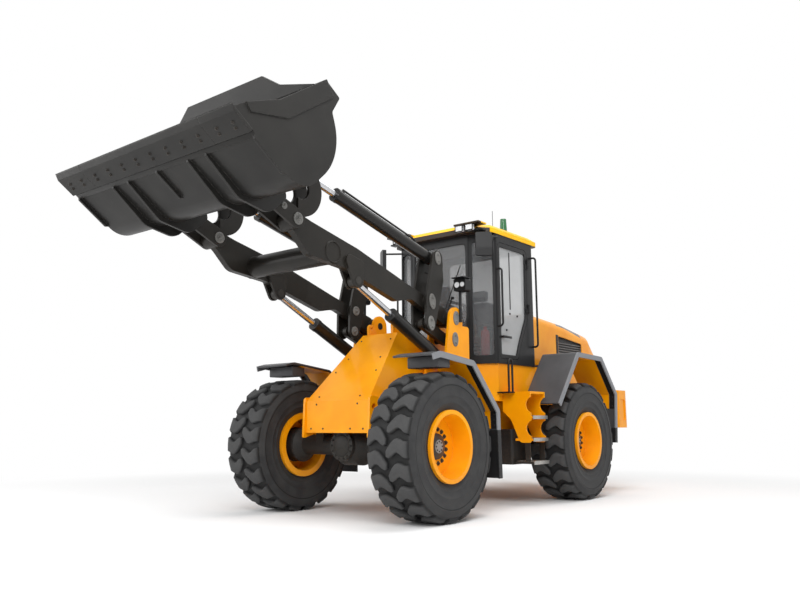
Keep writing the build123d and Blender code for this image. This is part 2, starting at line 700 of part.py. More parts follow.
def fenders():
    """Bent sheet over each wheel with a lip along its outer edge and a stay to the frame."""
    def arch(x, path):
        line = [(x + dx, TYRE_R + dz, r) for dx, dz, r in path]
        sheet = slab("y", bent_sheet(line, (x, TYRE_R), FENDER_T), FENDER_IN_Y, FENDER_OUT_Y)
        lip = bent_sheet(line, (x, TYRE_R), FENDER_LIP)
        return sheet + slab("y", lip, FENDER_OUT_Y - FENDER_LIP_T, FENDER_OUT_Y)

    rear = arch(X_REAR, REAR_FENDER)
    low = BAY_TOP_Z - REAR_STAY_T - HOOD_GAP
    x0 = X_REAR + REAR_STAY_X[0]
    x1 = X_REAR + REAR_STAY_X[1]
    rear += block(x0, x1, BAY_HALF_W + SEAT, FENDER_IN_Y + FENDER_T, low, low + REAR_STAY_T)
    crest = TYRE_R + REAR_FENDER[2][1] - FENDER_T / 2
    rear += block(x0, x1, FENDER_IN_Y, FENDER_IN_Y + FENDER_T, low, crest)
    front = arch(X_FRONT, FRONT_FENDER)
    front += block(
        X_FRONT + FRONT_STAY_X[0], X_FRONT + FRONT_STAY_X[1],
        ARM_Y + TOWER_OUT + SEAT, FENDER_IN_Y + FENDER_T, *FRONT_STAY_Z,
    )
    return {"rear_fenders": both(rear), "front_fenders": both(front)}


def cab_plan(half, nose, corner_x, rear, r, inset=0.0):
    """Plan of the cab: straight sides, square rear, front corners cut off."""
    left = [
        (nose[0] - inset, nose[1], r), (corner_x - inset, half - inset, r), (rear + inset, half - inset, r),
    ]
    return left + [(x, -y, c) for x, y, c in reversed(left)]


def cab():
    """Cab with its platform, panes, door, roof, seat and steering column."""
    parts = {}
    platform_half = CAB_HALF_W - PLATFORM_IN
    nose = (CAB_NOSE[0] - PLATFORM_IN, CAB_NOSE[1] - PLATFORM_IN)
    corner_x = CAB_CORNER_X - 30
    plan = (platform_half, nose, corner_x, CAB_REAR_X - PLATFORM_REAR)
    platform = slab("z", cab_plan(*plan, 0), REAR_TOP_Z + SEAT, CAB_FLOOR_Z)
    platform -= slab("z", cab_plan(*plan, 0, PLATFORM_WALL), REAR_TOP_Z - 1, CAB_FLOOR_Z - PLATFORM_WALL)
    parts["cab_platform"] = platform

    shell_plan = (CAB_HALF_W, CAB_NOSE, CAB_CORNER_X, CAB_REAR_X)
    shell = slab("z", cab_plan(*shell_plan, 45), CAB_FLOOR_Z + SEAT, CAB_TOP_Z)
    shell -= slab("z", cab_plan(*shell_plan, 20, CAB_WALL), CAB_FLOOR_Z + CAB_FLOOR_T, CAB_TOP_Z + 1)

    run = Vector(CAB_CORNER_X - CAB_NOSE[0], CAB_HALF_W - CAB_NOSE[1])
    square = Vector(-run.Y, run.X).normalized()

    def pane(a0, a1, low):
        return [(a0, low, WINDOW_R), (a1, low, WINDOW_R), (a1, WINDOW_TOP_Z, WINDOW_R), (a0, WINDOW_TOP_Z, WINDOW_R)]

    def corner_pane(side, depth0, depth1):
        start = Vector(*CAB_NOSE) + square * depth0
        lay = Plane(origin=(start.X, start.Y, 0), x_dir=(run.X, run.Y, 0), z_dir=(square.X, square.Y, 0))
        spread = [(share * run.length, z) for share in CORNER_GLASS for z in (WINDOW_LOW_Z, WINDOW_TOP_Z)]
        low = Vector(*spread[0])
        high = Vector(*spread[3])
        centre = (low + high) / 2
        flat = Pos(centre.X, -centre.Y if lay.y_dir.Z < 0 else centre.Y) * RectangleRounded(
            high.X - low.X, high.Y - low.Y, WINDOW_R / 2
        )
        solid = extrude(lay * flat, amount=depth1 - depth0)
        return solid if side > 0 else mirror(solid, about=Plane.XZ)

    front = pane(-FRONT_GLASS_HALF, FRONT_GLASS_HALF, WINDOW_LOW_Z)
    rear = pane(-REAR_GLASS[0], REAR_GLASS[0], REAR_GLASS[1])
    side = pane(SIDE_GLASS[0], SIDE_GLASS[1], SIDE_GLASS[2])
    shell -= slab("x", front, CAB_NOSE[0] - 2 * CAB_WALL, CAB_NOSE[0] + 1)
    shell -= slab("x", rear, CAB_REAR_X - 1, CAB_REAR_X + 2 * CAB_WALL)
    shell -= slab("y", side, -CAB_HALF_W - 1, -CAB_HALF_W + 2 * CAB_WALL)
    for hand in (1, -1):
        shell -= corner_pane(hand, -GLASS_IN, 2 * CAB_WALL)
    rear_line = [(DOOR_REAR_X + dx, z, r) for dx, z, r in DOOR_REAR]
    door_line = [
        (DOOR_FRONT_X, DOOR_LOW_Z, 75), (DOOR_FRONT_X, WINDOW_TOP_Z, 80), (DOOR_REAR_X, WINDOW_TOP_Z, 80), *rear_line,
    ]

    def door_slab(grow, y0, y1):
        face = outline("y", door_line, y0)
        if grow:
            face = offset(face, amount=grow)
        return extrude(face, amount=y1 - y0, dir=(0, 1, 0))

    shell -= door_slab(DOOR_GAP, CAB_HALF_W - 2 * CAB_WALL, CAB_HALF_W + 1)
    hinge_x = DOOR_REAR_X - DOOR_GAP / 2
    hinge_y = CAB_HALF_W + DOOR_HINGE_R
    leaf_y = hinge_y - RUN
    for z in HINGE_Z:
        top = z + DOOR_HINGE_LEN
        shell += pin_z(hinge_x, hinge_y, DOOR_HINGE_R, z + SEAT, top)
        shell += block(hinge_x - DOOR_HINGE_LEN, hinge_x, CAB_HALF_W, leaf_y, z + SEAT, top)
    parts["cab_shell"] = shell

    door = door_slab(0, CAB_HALF_W - DOOR_T, CAB_HALF_W)
    door -= door_slab(-DOOR_BAR, CAB_HALF_W - DOOR_T - 1, CAB_HALF_W + 1)
    for z in HINGE_Z:
        low = z - DOOR_HINGE_LEN
        door += pin_z(hinge_x, hinge_y, DOOR_HINGE_R, low, z)
        door += block(hinge_x, hinge_x + DOOR_HINGE_LEN, CAB_HALF_W, leaf_y, low, z)
    parts["door_frame"] = door
    middle = CAB_HALF_W - DOOR_T / 2
    parts["door_glass"] = door_slab(-DOOR_BAR, middle - GLASS_T / 2, middle + GLASS_T / 2)

    glass = [
        slab("x", front, CAB_NOSE[0] - GLASS_IN - GLASS_T, CAB_NOSE[0] - GLASS_IN),
        slab("x", rear, CAB_REAR_X + GLASS_IN, CAB_REAR_X + GLASS_IN + GLASS_T),
        slab("y", side, -CAB_HALF_W + GLASS_IN, -CAB_HALF_W + GLASS_IN + GLASS_T),
        corner_pane(1, GLASS_IN, GLASS_IN + GLASS_T),
        corner_pane(-1, GLASS_IN, GLASS_IN + GLASS_T),
    ]
    parts["cab_glass"] = Compound([piece.solids()[0] for piece in glass])

    roof_low = CAB_TOP_Z + SEAT
    brim_z = roof_low + ROOF_EDGE_T
    roof_half = CAB_HALF_W + ROOF_SIDE
    roof_rear = CAB_REAR_X - ROOF_REAR
    brim = cab_plan(roof_half, ROOF_NOSE, ROOF_CORNER_X, roof_rear, ROOF_R)
    crown_nose = (ROOF_NOSE[0], ROOF_NOSE[1] - ROOF_CROWN)
    crown = cab_plan(roof_half, crown_nose, ROOF_CORNER_X, roof_rear, ROOF_R - 20, ROOF_CROWN)
    roof = slab("z", brim, roof_low, brim_z)
    roof += loft([outline("z", brim, brim_z), outline("z", crown, CAB_TOP_Z + ROOF_T)], ruled=True)
    hood_x0, hood_x1 = LAMP_HOOD_X
    for hand in (1, -1):
        y0, y1 = sorted(hand * y for y in LAMP_HOOD_Y)
        roof += block(hood_x0, hood_x1, y0, y1, LAMP_HOOD_Z, LAMP_HOOD_Z + LAMP_HOOD_T)
    parts["cab_roof"] = roof

    lamps = []
    lamp_z = LAMP_HOOD_Z - SEAT
    for y in ROOF_LAMP_Y:
        face = [
            (y + dy * ROOF_LAMP_W / 2, lamp_z - ROOF_LAMP_H * drop, 12)
            for dy, drop in ((-1, 1), (1, 1), (1, 0), (-1, 0))
        ]
        lamps.append(slab("x", face, hood_x1 - ROOF_LAMP_D - 10, hood_x1 - 10))
    parts["roof_lamps"] = Compound(
        [lamp.solids()[0] for lamp in lamps] + [mirror(lamp, about=Plane.XZ).solids()[0] for lamp in lamps]
    )

    rear_x, front_x = SEAT_X
    low, top, crest = SEAT_Z
    cushion = [
        (rear_x, low, 30), (front_x, low, 50), (front_x, top, 50), (rear_x + SEAT_BACK_T, top),
        (rear_x + SEAT_BACK_T - 25, crest, 40), (rear_x - 45, crest, 50),
    ]
    seat = slab("y", cushion, -SEAT_HALF_W, SEAT_HALF_W)
    centre_x = (rear_x + front_x) / 2
    half_x, half_y = PEDESTAL
    seat += block(
        centre_x - half_x, centre_x + half_x, -half_y, half_y, CAB_FLOOR_Z + CAB_FLOOR_T + SEAT, low + 1
    )
    parts["seat"] = seat

    foot, head = [(x, 0, z) for x, z in COLUMN]
    column = bar((foot[0], 0, foot[2] - COLUMN_R), head, COLUMN_R)
    column -= block(foot[0] - 200, foot[0] + 200, -100, 100, foot[2] - 2 * COLUMN_R, foot[2] + SEAT)
    wheel = Plane(origin=head, z_dir=Vector(*head) - Vector(*foot))
    outer_ring = RegularPolygon(STEERING_WHEEL_R + STEERING_GRIP / 2, 20)
    inner_ring = RegularPolygon(STEERING_WHEEL_R - STEERING_GRIP / 2, 20)
    column += wheel * extrude(outer_ring - inner_ring, amount=STEERING_GRIP / 2, both=True)
    column += wheel * Box(2 * STEERING_WHEEL_R, 40, 20)
    parts["steering_console"] = column
    return parts


def hood():
    """Engine hood: a lofted skin with rounded edges, open below, with slatted side and rear grilles."""
    def rib(behind, half, top, r, inset):
        half -= inset
        corners = [(-half, HOOD_LOW_Z), (-half, top - inset, r - inset), (half, top - inset, r - inset), (half, HOOD_LOW_Z)]
        return outline("x", corners, HOOD_FRONT_X - behind)

    skin = loft([rib(*row, 0) for row in HOOD_RIBS], ruled=True)
    last = HOOD_RIBS[-1]
    rear_x = HOOD_FRONT_X - last[0]
    skin += block(rear_x, HOOD_SKIRT_X, -last[1], last[1], HOOD_SKIRT_Z, HOOD_LOW_Z + 1)
    inner = [rib(*row, SKIN) for row in HOOD_RIBS[:-1]]
    shortened = (last[0] - SKIN, last[1], last[2] + SKIN / 2, last[3])
    hollow = loft(inner + [rib(*shortened, SKIN)], ruled=True)
    hollow += block(
        rear_x + SKIN, HOOD_SKIRT_X - SKIN, -last[1] + SKIN, last[1] - SKIN, HOOD_SKIRT_Z - 1, HOOD_LOW_Z + 1
    )
    mouth = HOOD_RIBS[0][1] - SKIN
    hollow += block(HOOD_SKIRT_X + 1, HOOD_FRONT_X + 1, -mouth + 40, mouth - 40, HOOD_LOW_Z - 1, HOOD_LOW_Z + 60)
    hood_top = HOOD_RIBS[0][2] - SKIN
    hollow += block(
        HOOD_FRONT_X - 40, HOOD_FRONT_X + 1, -mouth + 100, mouth - 100, HOOD_LOW_Z - 1, hood_top - 40
    )
    lid = skin - hollow

    g0 = HOOD_FRONT_X - GRILLE_X[0]
    g1 = HOOD_FRONT_X - GRILLE_X[1]
    low, high = GRILLE_Z
    window = [(g0, low, 20), (g1, low, 20), (g1, high - GRILLE_DROP, 40), (g0, high, 20)]
    wide = HOOD_RIBS[0][1] + 1
    lid -= slab("y", window, -wide, wide)
    gap = (high - GRILLE_DROP - low) / (SLAT_COUNT + 1)
    wall = HOOD_RIBS[2][1]
    for hand in (1, -1):
        y0, y1 = sorted((hand * (wall - SKIN), hand * (wall - SKIN + SLAT_DEPTH)))
        for i in range(SLAT_COUNT):
            z = low + gap * (i + 1)
            lid += block(g1 - 10, g0 + 10, y0, y1, z - SLAT_T / 2, z + SLAT_T / 2)
    half = REAR_GRILLE_HALF_W
    low, high = REAR_GRILLE_Z
    lid -= block(rear_x - 1, rear_x + 2 * SKIN, -half, half, low, high)
    gap = (high - low) / (REAR_SLAT_COUNT + 1)
    for i in range(REAR_SLAT_COUNT):
        z = low + gap * (i + 1)
        lid += block(rear_x + 4, rear_x + 4 + SLAT_DEPTH, -half - 1, half + 1, z - SLAT_T / 2, z + SLAT_T / 2)
    for y in HOOD_HINGE_Y:
        lid += pin_y(HOOD_HINGE, HOOD_HINGE_R, y, y + KNUCKLE)
        lid += block(
            HOOD_FRONT_X - 70, HOOD_HINGE[0], y, y + KNUCKLE, HOOD_HINGE[1] - 8, HOOD_HINGE[1] + HOOD_HINGE_R - 4
        )
    return {"hood": lid}


def steps():
    """Access steps between two scalloped stringers, a lowest tread on straps, and the box behind them."""
    front_x = STEP_REAR_X + STEP_LEN
    inner, outer = STEP_Y
    hang_y = CAB_HALF_W - PLATFORM_IN + SEAT
    low, middle, high = TREAD_Z
    cheek = [
        (hang_y, STEP_TOP_Z), (outer, STEP_TOP_Z, 20), (outer, STRINGER_LOW_Z, 40), (inner + 90, STRINGER_LOW_Z, 60),
        (inner - 30, high - 40, 120), (hang_y, high + 60, 40),
    ]
    body = block(STEP_REAR_X, front_x, hang_y, outer, STEP_TOP_Z - TREAD_T, STEP_TOP_Z)
    for x0 in (STEP_REAR_X, front_x - STRINGER_T):
        stringer = slab("x", cheek, x0, x0 + STRINGER_T)
        for z in ((middle + high - TREAD_T) / 2, (high + STEP_TOP_Z - TREAD_T) / 2):
            stringer -= pin_x(outer + SCALLOP_R / 3, z, SCALLOP_R, x0 - 1, x0 + STRINGER_T + 1)
        body += stringer
        width, thick = STRAP
        x1 = x0 + (STRINGER_T - thick) / 2
        body += block(x1, x1 + thick, outer - width - 20, outer - 20, low - TREAD_T, STRINGER_LOW_Z + 30)
    for z in TREAD_Z:
        body += block(STEP_REAR_X + 4, front_x - 4, inner + 25, outer + TREAD_OUT, z - TREAD_T, z)
    box_in = REAR_SIDE_Y + PLATE / 2 + SEAT
    plan = [
        (BOX_REAR_X, box_in), (BOX_REAR_X + BOX_LEN, box_in), (BOX_REAR_X + BOX_LEN, BOX_OUT_Y, 30),
        (BOX_REAR_X, BOX_OUT_Y, 30),
    ]
    return {"access_steps": both(body), "side_boxes": both(slab("z", plan, *BOX_Z))}


def front_frame():
    """Front chassis: a box that rises to the tower plates, tie-down ears, lifting eyes and hinge lugs."""
    parts = {}
    lower = [
        (FRAME_REAR_X, FRAME_LOW_Z), (FRAME_REAR_X + FRAME_LOW_LEN, FRAME_LOW_Z, 80),
        (X_FRONT - 330, FRAME_NOSE_Z, 80), (FRAME_FRONT_X, FRAME_NOSE_Z),
        (FRAME_FRONT_X, FRAME_EAR_Z), (FRAME_REAR_X, FRAME_EAR_Z),
    ]

    def level(x0, x1, half, z):
        return outline("z", [(x0, -half), (x1, -half), (x1, half), (x0, half)], z)

    frame = slab("y", lower, -FRAME_HALF_W, FRAME_HALF_W)
    frame += loft([
        level(FRAME_REAR_X + 70, FRAME_FRONT_X, FRAME_HALF_W, FRAME_EAR_Z),
        level(*FRAME_TOP_X, FRAME_TOP_HALF_W, FRAME_TOP_Z),
    ])
    tower_half = ARM_Y + TOWER_OUT
    frame += block(*TOWER_BASE_X, -tower_half, tower_half, *TOWER_BASE_Z)
    inside = FRAME_HALF_W - PLATE
    frame -= block(FRAME_REAR_X - 1, FRAME_FRONT_X - PLATE, -inside, inside, FRAME_LOW_Z - 1, FRAME_EAR_Z + 1)
    frame -= loft([
        level(FRAME_REAR_X + 110, FRAME_FRONT_X - 50, inside, FRAME_EAR_Z),
        level(FRAME_TOP_X[0] + PLATE, FRAME_TOP_X[1] - 40, FRAME_TOP_HALF_W - PLATE, FRAME_TOP_Z - PLATE),
    ])
    tower = [(*ARM_PIVOT, TOWER_TOP_R), (*LINK_ANCHOR, TOWER_MID_R), (*LIFT_BASE, TOWER_MID_R), *TOWER_FOOT]
    back_x, back_z = TOWER_BACK
    for side in (1, -1):
        y0, y1 = sorted((side * (FRAME_HALF_W - 1), side * (tower_half - PLATE)))
        frame -= block(TOWER_BASE_X[0] + PLATE, TOWER_BASE_X[1] - PLATE, y0, y1, TOWER_BASE_Z[0] - 1, TOWER_BASE_Z[1] - PLATE)
        for low, high in ((TOWER_IN, TOWER_OUT), (-TOWER_OUT, -TOWER_IN)):
            y0 = side * ARM_Y + low
            y1 = side * ARM_Y + high
            plate = hull_y(tower, y0, y1)
            rear_line = [
                (back_x, TOWER_BASE_Z[0] + PLATE), (LINK_ANCHOR[0], TOWER_BASE_Z[0] + PLATE),
                (LINK_ANCHOR[0], back_z), (back_x, back_z, 40),
            ]
            plate += slab("y", rear_line, y0, y1)
            for point in (ARM_PIVOT, LINK_ANCHOR, LIFT_BASE):
                plate -= pin_y(point, PIN_R, y0 - 1, y1 + 1)
            frame += plate
        ear_x = FRAME_FRONT_X + EAR_PROUD
        ear = [
            (FRAME_FRONT_X - EAR_LEN, EAR_Z[1] - 60), (ear_x - 20, EAR_Z[1], 40), (ear_x, EAR_Z[0], 20),
            (X_FRONT + PAD_HALF_X + PLATE, FRAME_NOSE_Z), (FRAME_FRONT_X - EAR_LEN, FRAME_NOSE_Z),
        ]
        y0, y1 = sorted((side * (FRAME_HALF_W - 2), side * (FRAME_HALF_W + EAR_T)))
        hole_x, hole_z, hole_r = EAR_HOLE
        frame += slab("y", ear, y0, y1)
        frame -= pin_y((ear_x - hole_x, hole_z), hole_r, y0 - PLATE - 1, y1 + PLATE + 1)
        x, z, r = EYE_LUG
        y0 = side * EYE_LUG_Y - EYE_LUG_T / 2
        y1 = side * EYE_LUG_Y + EYE_LUG_T / 2
        frame += hull_y([(x, z, r), (x - 60, FRAME_TOP_Z - 20, r), (x + 20, FRAME_TOP_Z - 30, 20)], y0, y1)
        frame -= pin_y((x, z), EYE_LUG_HOLE_R, y0 - 1, y1 + 1)
    for z in HINGE_LEVELS:
        for z0 in (z - HINGE_T / 2 - RUN - HINGE_LUG_T, z + HINGE_T / 2 + RUN):
            z1 = z0 + HINGE_LUG_T
            root = FRAME_REAR_X + 60
            lug = slab("z", [(0, HINGE_R), (0, -HINGE_R), (root, -300), (root, 300)], z0, z1)
            lug += pin_z(0, 0, HINGE_R, z0, z1)
            lug += block(root - 5, root + 50, -FRAME_HALF_W + 5, FRAME_HALF_W - 5, z0, z1)
            frame += lug - pin_z(0, 0, HINGE_PIN_R + SLIDE, z0 - 1, z1 + 1)
    parts["front_chassis"] = frame

    pins = [pin_z(0, 0, HINGE_PIN_R, z - HINGE_PIN_REACH, z + HINGE_PIN_REACH) for z in HINGE_LEVELS]
    parts["hinge_pins"] = Compound([pin.solids()[0] for pin in pins])
    head = TOWER_OUT + PIN_HEAD
    pins = [pin_y(point, PIN_R - SLIDE, ARM_Y - head, ARM_Y + head) for point in (ARM_PIVOT, LINK_ANCHOR)]
    for inner, outer in ((TOWER_IN, head), (-head, -TOWER_IN)):
        pins.append(pin_y(LIFT_BASE, PIN_R - SLIDE, ARM_Y + inner, ARM_Y + outer))
    parts["tower_pins"] = Compound([s for pin in pins for s in both(pin).solids()])
    return parts


def lift_arm(side):
    """One lift arm: plate, bosses at its three pins and two lugs that hold the lift rod's eye."""
    y = side * ARM_Y
    half = ARM_T / 2
    arm = slab("y", ARM_LINE, y - half, y + half)
    arm -= pin_y(LIFT_EYE, EYE_R + RUN * 2, y - half - 1, y + half + 1)
    # columns: pin centre, boss radius, boss half-width
    bosses = (
        (ARM_PIVOT, ARM_BOSS_R, TOWER_IN - RUN),
        (LEVER_PIVOT, LEVER_BOSS_R, CHEEK_IN - RUN),
        (BUCKET_PIVOT, BUCKET_BOSS_R, CHEEK_IN - RUN),
    )
    for centre, radius, reach in bosses:
        arm += pin_y(centre, radius, y - reach, y + reach)
    for centre, radius, reach in bosses:
        arm -= pin_y(centre, PIN_R + SLIDE, y - reach - 1, y + reach + 1)
    root = LIFT_EYE[1] + 160
    for inner, outer in ((half, half + LUG_T), (-half - LUG_T, -half)):
        lug = hull_y(
            [(*LIFT_EYE, LUG_R), (LIFT_EYE[0] - 25, root, 60), (LIFT_EYE[0] + 115, root + 30, 60)],
            y + inner, y + outer,
        )
        arm += lug - pin_y(LIFT_EYE, PIN_R + SLIDE, y + inner - 1, y + outer + 1)
    return arm


def ram_barrel(base, eye, r, rod_r, gland, neck):
    """Barrel with a collar at its gland, and the bore that guides the rod."""
    axis = Plane(origin=base, z_dir=Vector(*eye) - Vector(*base))
    body = axis * (Pos(0, 0, neck) * Cylinder(r, gland - neck, align=ON_AXIS))
    body += axis * (Pos(0, 0, gland - COLLAR_LEN) * Cylinder(r + COLLAR, COLLAR_LEN, align=ON_AXIS))
    bore = axis * (Pos(0, 0, neck + RAM_CAP) * Cylinder(r - RAM_WALL, gland - neck - RAM_CAP * 2, align=ON_AXIS))
    guide = axis * (Pos(0, 0, neck + RAM_CAP) * Cylinder(rod_r + SLIDE, gland, align=ON_AXIS))
    return body, bore + guide


def rod_shaft(base, eye, rod_r, inside):
    """Rod from inside the barrel to the centre of its eye."""
    axis = Plane(origin=base, z_dir=Vector(*eye) - Vector(*base))
    return axis * (Pos(0, 0, inside) * Cylinder(rod_r, math.dist(base, eye) - inside, align=ON_AXIS))


def linkage():
    """Arms, levers, links and the lift, tilt and steering rams."""
    parts = {}
    parts["arm_left"] = lift_arm(1)
    parts["arm_right"] = lift_arm(-1)
    inner = ARM_Y - ARM_T / 2 - SEAT
    parts["arm_cross_tube"] = pin_y(CROSS_TUBE, CROSS_TUBE_R, -inner, inner)
    reach = CHEEK_OUT + PIN_END
    parts["lever_pins"] = both(pin_y(LEVER_PIVOT, PIN_R, ARM_Y - reach, ARM_Y + reach))
    parts["tilt_base_pins"] = both(pin_y(TILT_BASE, PIN_R, ARM_Y - reach, ARM_Y + reach))
    parts["bucket_pins"] = both(pin_y(BUCKET_PIVOT, PIN_R, ARM_Y - reach, ARM_Y + reach))

    def lever_plate(y0, y1):
        plate = hull_y([(*LINK_PIN, 85), (*LEVER_PIVOT, 105), (*TILT_BASE, 90), (*LEVER_BACK, LEVER_BACK_R)], y0, y1)
        for point in (LEVER_PIVOT, TILT_BASE):
            plate -= pin_y(point, PIN_R + SLIDE, y0 - 1, y1 + 1)
        return plate

    left, right = straddle(lever_plate, CHEEK_IN, CHEEK_OUT)
    spacer = pin_y(LINK_PIN, PIN_R, ARM_Y - CHEEK_OUT, ARM_Y + CHEEK_OUT)
    parts["tilt_levers"] = both(left + right + spacer)

    link_half = EYE_HALF_W - 2
    link = hull_y([(*LINK_ANCHOR, EYE_R), (*LINK_PIN, EYE_R)], ARM_Y - link_half, ARM_Y + link_half)
    for point in (LINK_ANCHOR, LINK_PIN):
        link -= pin_y(point, PIN_R + SLIDE, ARM_Y - EYE_R, ARM_Y + EYE_R)
    parts["level_links"] = both(link)

    # columns: name, base, eye, barrel radius, rod radius, gland, rod inside, neck, base pin, eye pin
    rams = (
        ("lift", LIFT_BASE, LIFT_EYE, LIFT_BARREL_R, LIFT_ROD_R, LIFT_GLAND, LIFT_ROD_INSIDE, LIFT_NECK,
         TOWER_IN - RUN, ARM_T / 2 + LUG_T + PIN_END),
        ("tilt", TILT_BASE, TILT_EYE, TILT_BARREL_R, TILT_ROD_R, TILT_GLAND, TILT_ROD_INSIDE, TILT_NECK,
         0, ARM_T / 2 - 1),
    )
    for name, base, eye, r, rod_r, gland, inside, neck, base_pin, eye_pin in rams:
        body, hollow = ram_barrel(at_arm(base), at_arm(eye), r, rod_r, gland, neck)
        shoulder = between(base, eye, neck + 10)
        barrel = body + hull_y([(*base, EYE_R), (*shoulder, EYE_R - 8)], ARM_Y - EYE_HALF_W, ARM_Y + EYE_HALF_W)
        if name == "tilt":
            axis = Plane(origin=at_arm(base), x_dir=(0, 1, 0), z_dir=Vector(*at_arm(eye)) - Vector(*at_arm(base)))
            up = -1 if axis.y_dir.Z < 0 else 1
            start, end = LINE_SPAN
            for y in (-LINE_Y, LINE_Y):
                rise = up * (r + LINE_STAND)
                barrel += axis * (Pos(y, rise, start) * Cylinder(LINE_R, end - start, align=ON_AXIS))
                for along in (start, end - LINE_R * 2):
                    foot = Pos(y, rise / 2, along + LINE_R) * Box(LINE_R * 2, r + LINE_STAND, LINE_R * 2)
                    barrel += axis * foot
        barrel -= hollow
        if base_pin:
            barrel += pin_y(base, PIN_R, ARM_Y - base_pin, ARM_Y + base_pin)
        else:
            barrel -= pin_y(base, PIN_R + SLIDE, ARM_Y - EYE_R, ARM_Y + EYE_R)
        parts[name + "_barrels"] = both(barrel)
        rod = rod_shaft(at_arm(base), at_arm(eye), rod_r, inside)
        rod += pin_y(eye, EYE_R, ARM_Y - EYE_HALF_W, ARM_Y + EYE_HALF_W)
        rod += pin_y(eye, PIN_R, ARM_Y - eye_pin, ARM_Y + eye_pin)
        parts[name + "_rods"] = both(rod)

    for side, name in ((1, "left"), (-1, "right")):
        base = (STEER_BASE[0], side * STEER_BASE[1], STEER_Z)
        eye = (STEER_EYE[0], side * STEER_EYE[1], STEER_Z)
        body, hollow = ram_barrel(base, eye, STEER_BARREL_R - COLLAR, STEER_ROD_R, STEER_GLAND, STEER_NECK)
        barrel = body + pin_z(base[0], base[1], STEER_EYE_R, STEER_Z - STEER_BASE_HALF, STEER_Z + STEER_BASE_HALF)
        barrel -= pin_z(base[0], base[1], STEER_PIN_R + SLIDE, STEER_Z - STEER_EYE_R, STEER_Z + STEER_EYE_R)
        parts["steer_barrel_" + name] = barrel - hollow
        rod = rod_shaft(base, eye, STEER_ROD_R, STEER_ROD_INSIDE)
        rod += pin_z(eye[0], eye[1], STEER_EYE_R, STEER_Z - STEER_EYE_HALF, STEER_Z + STEER_EYE_HALF)
        parts["steer_rod_" + name] = rod
    return parts


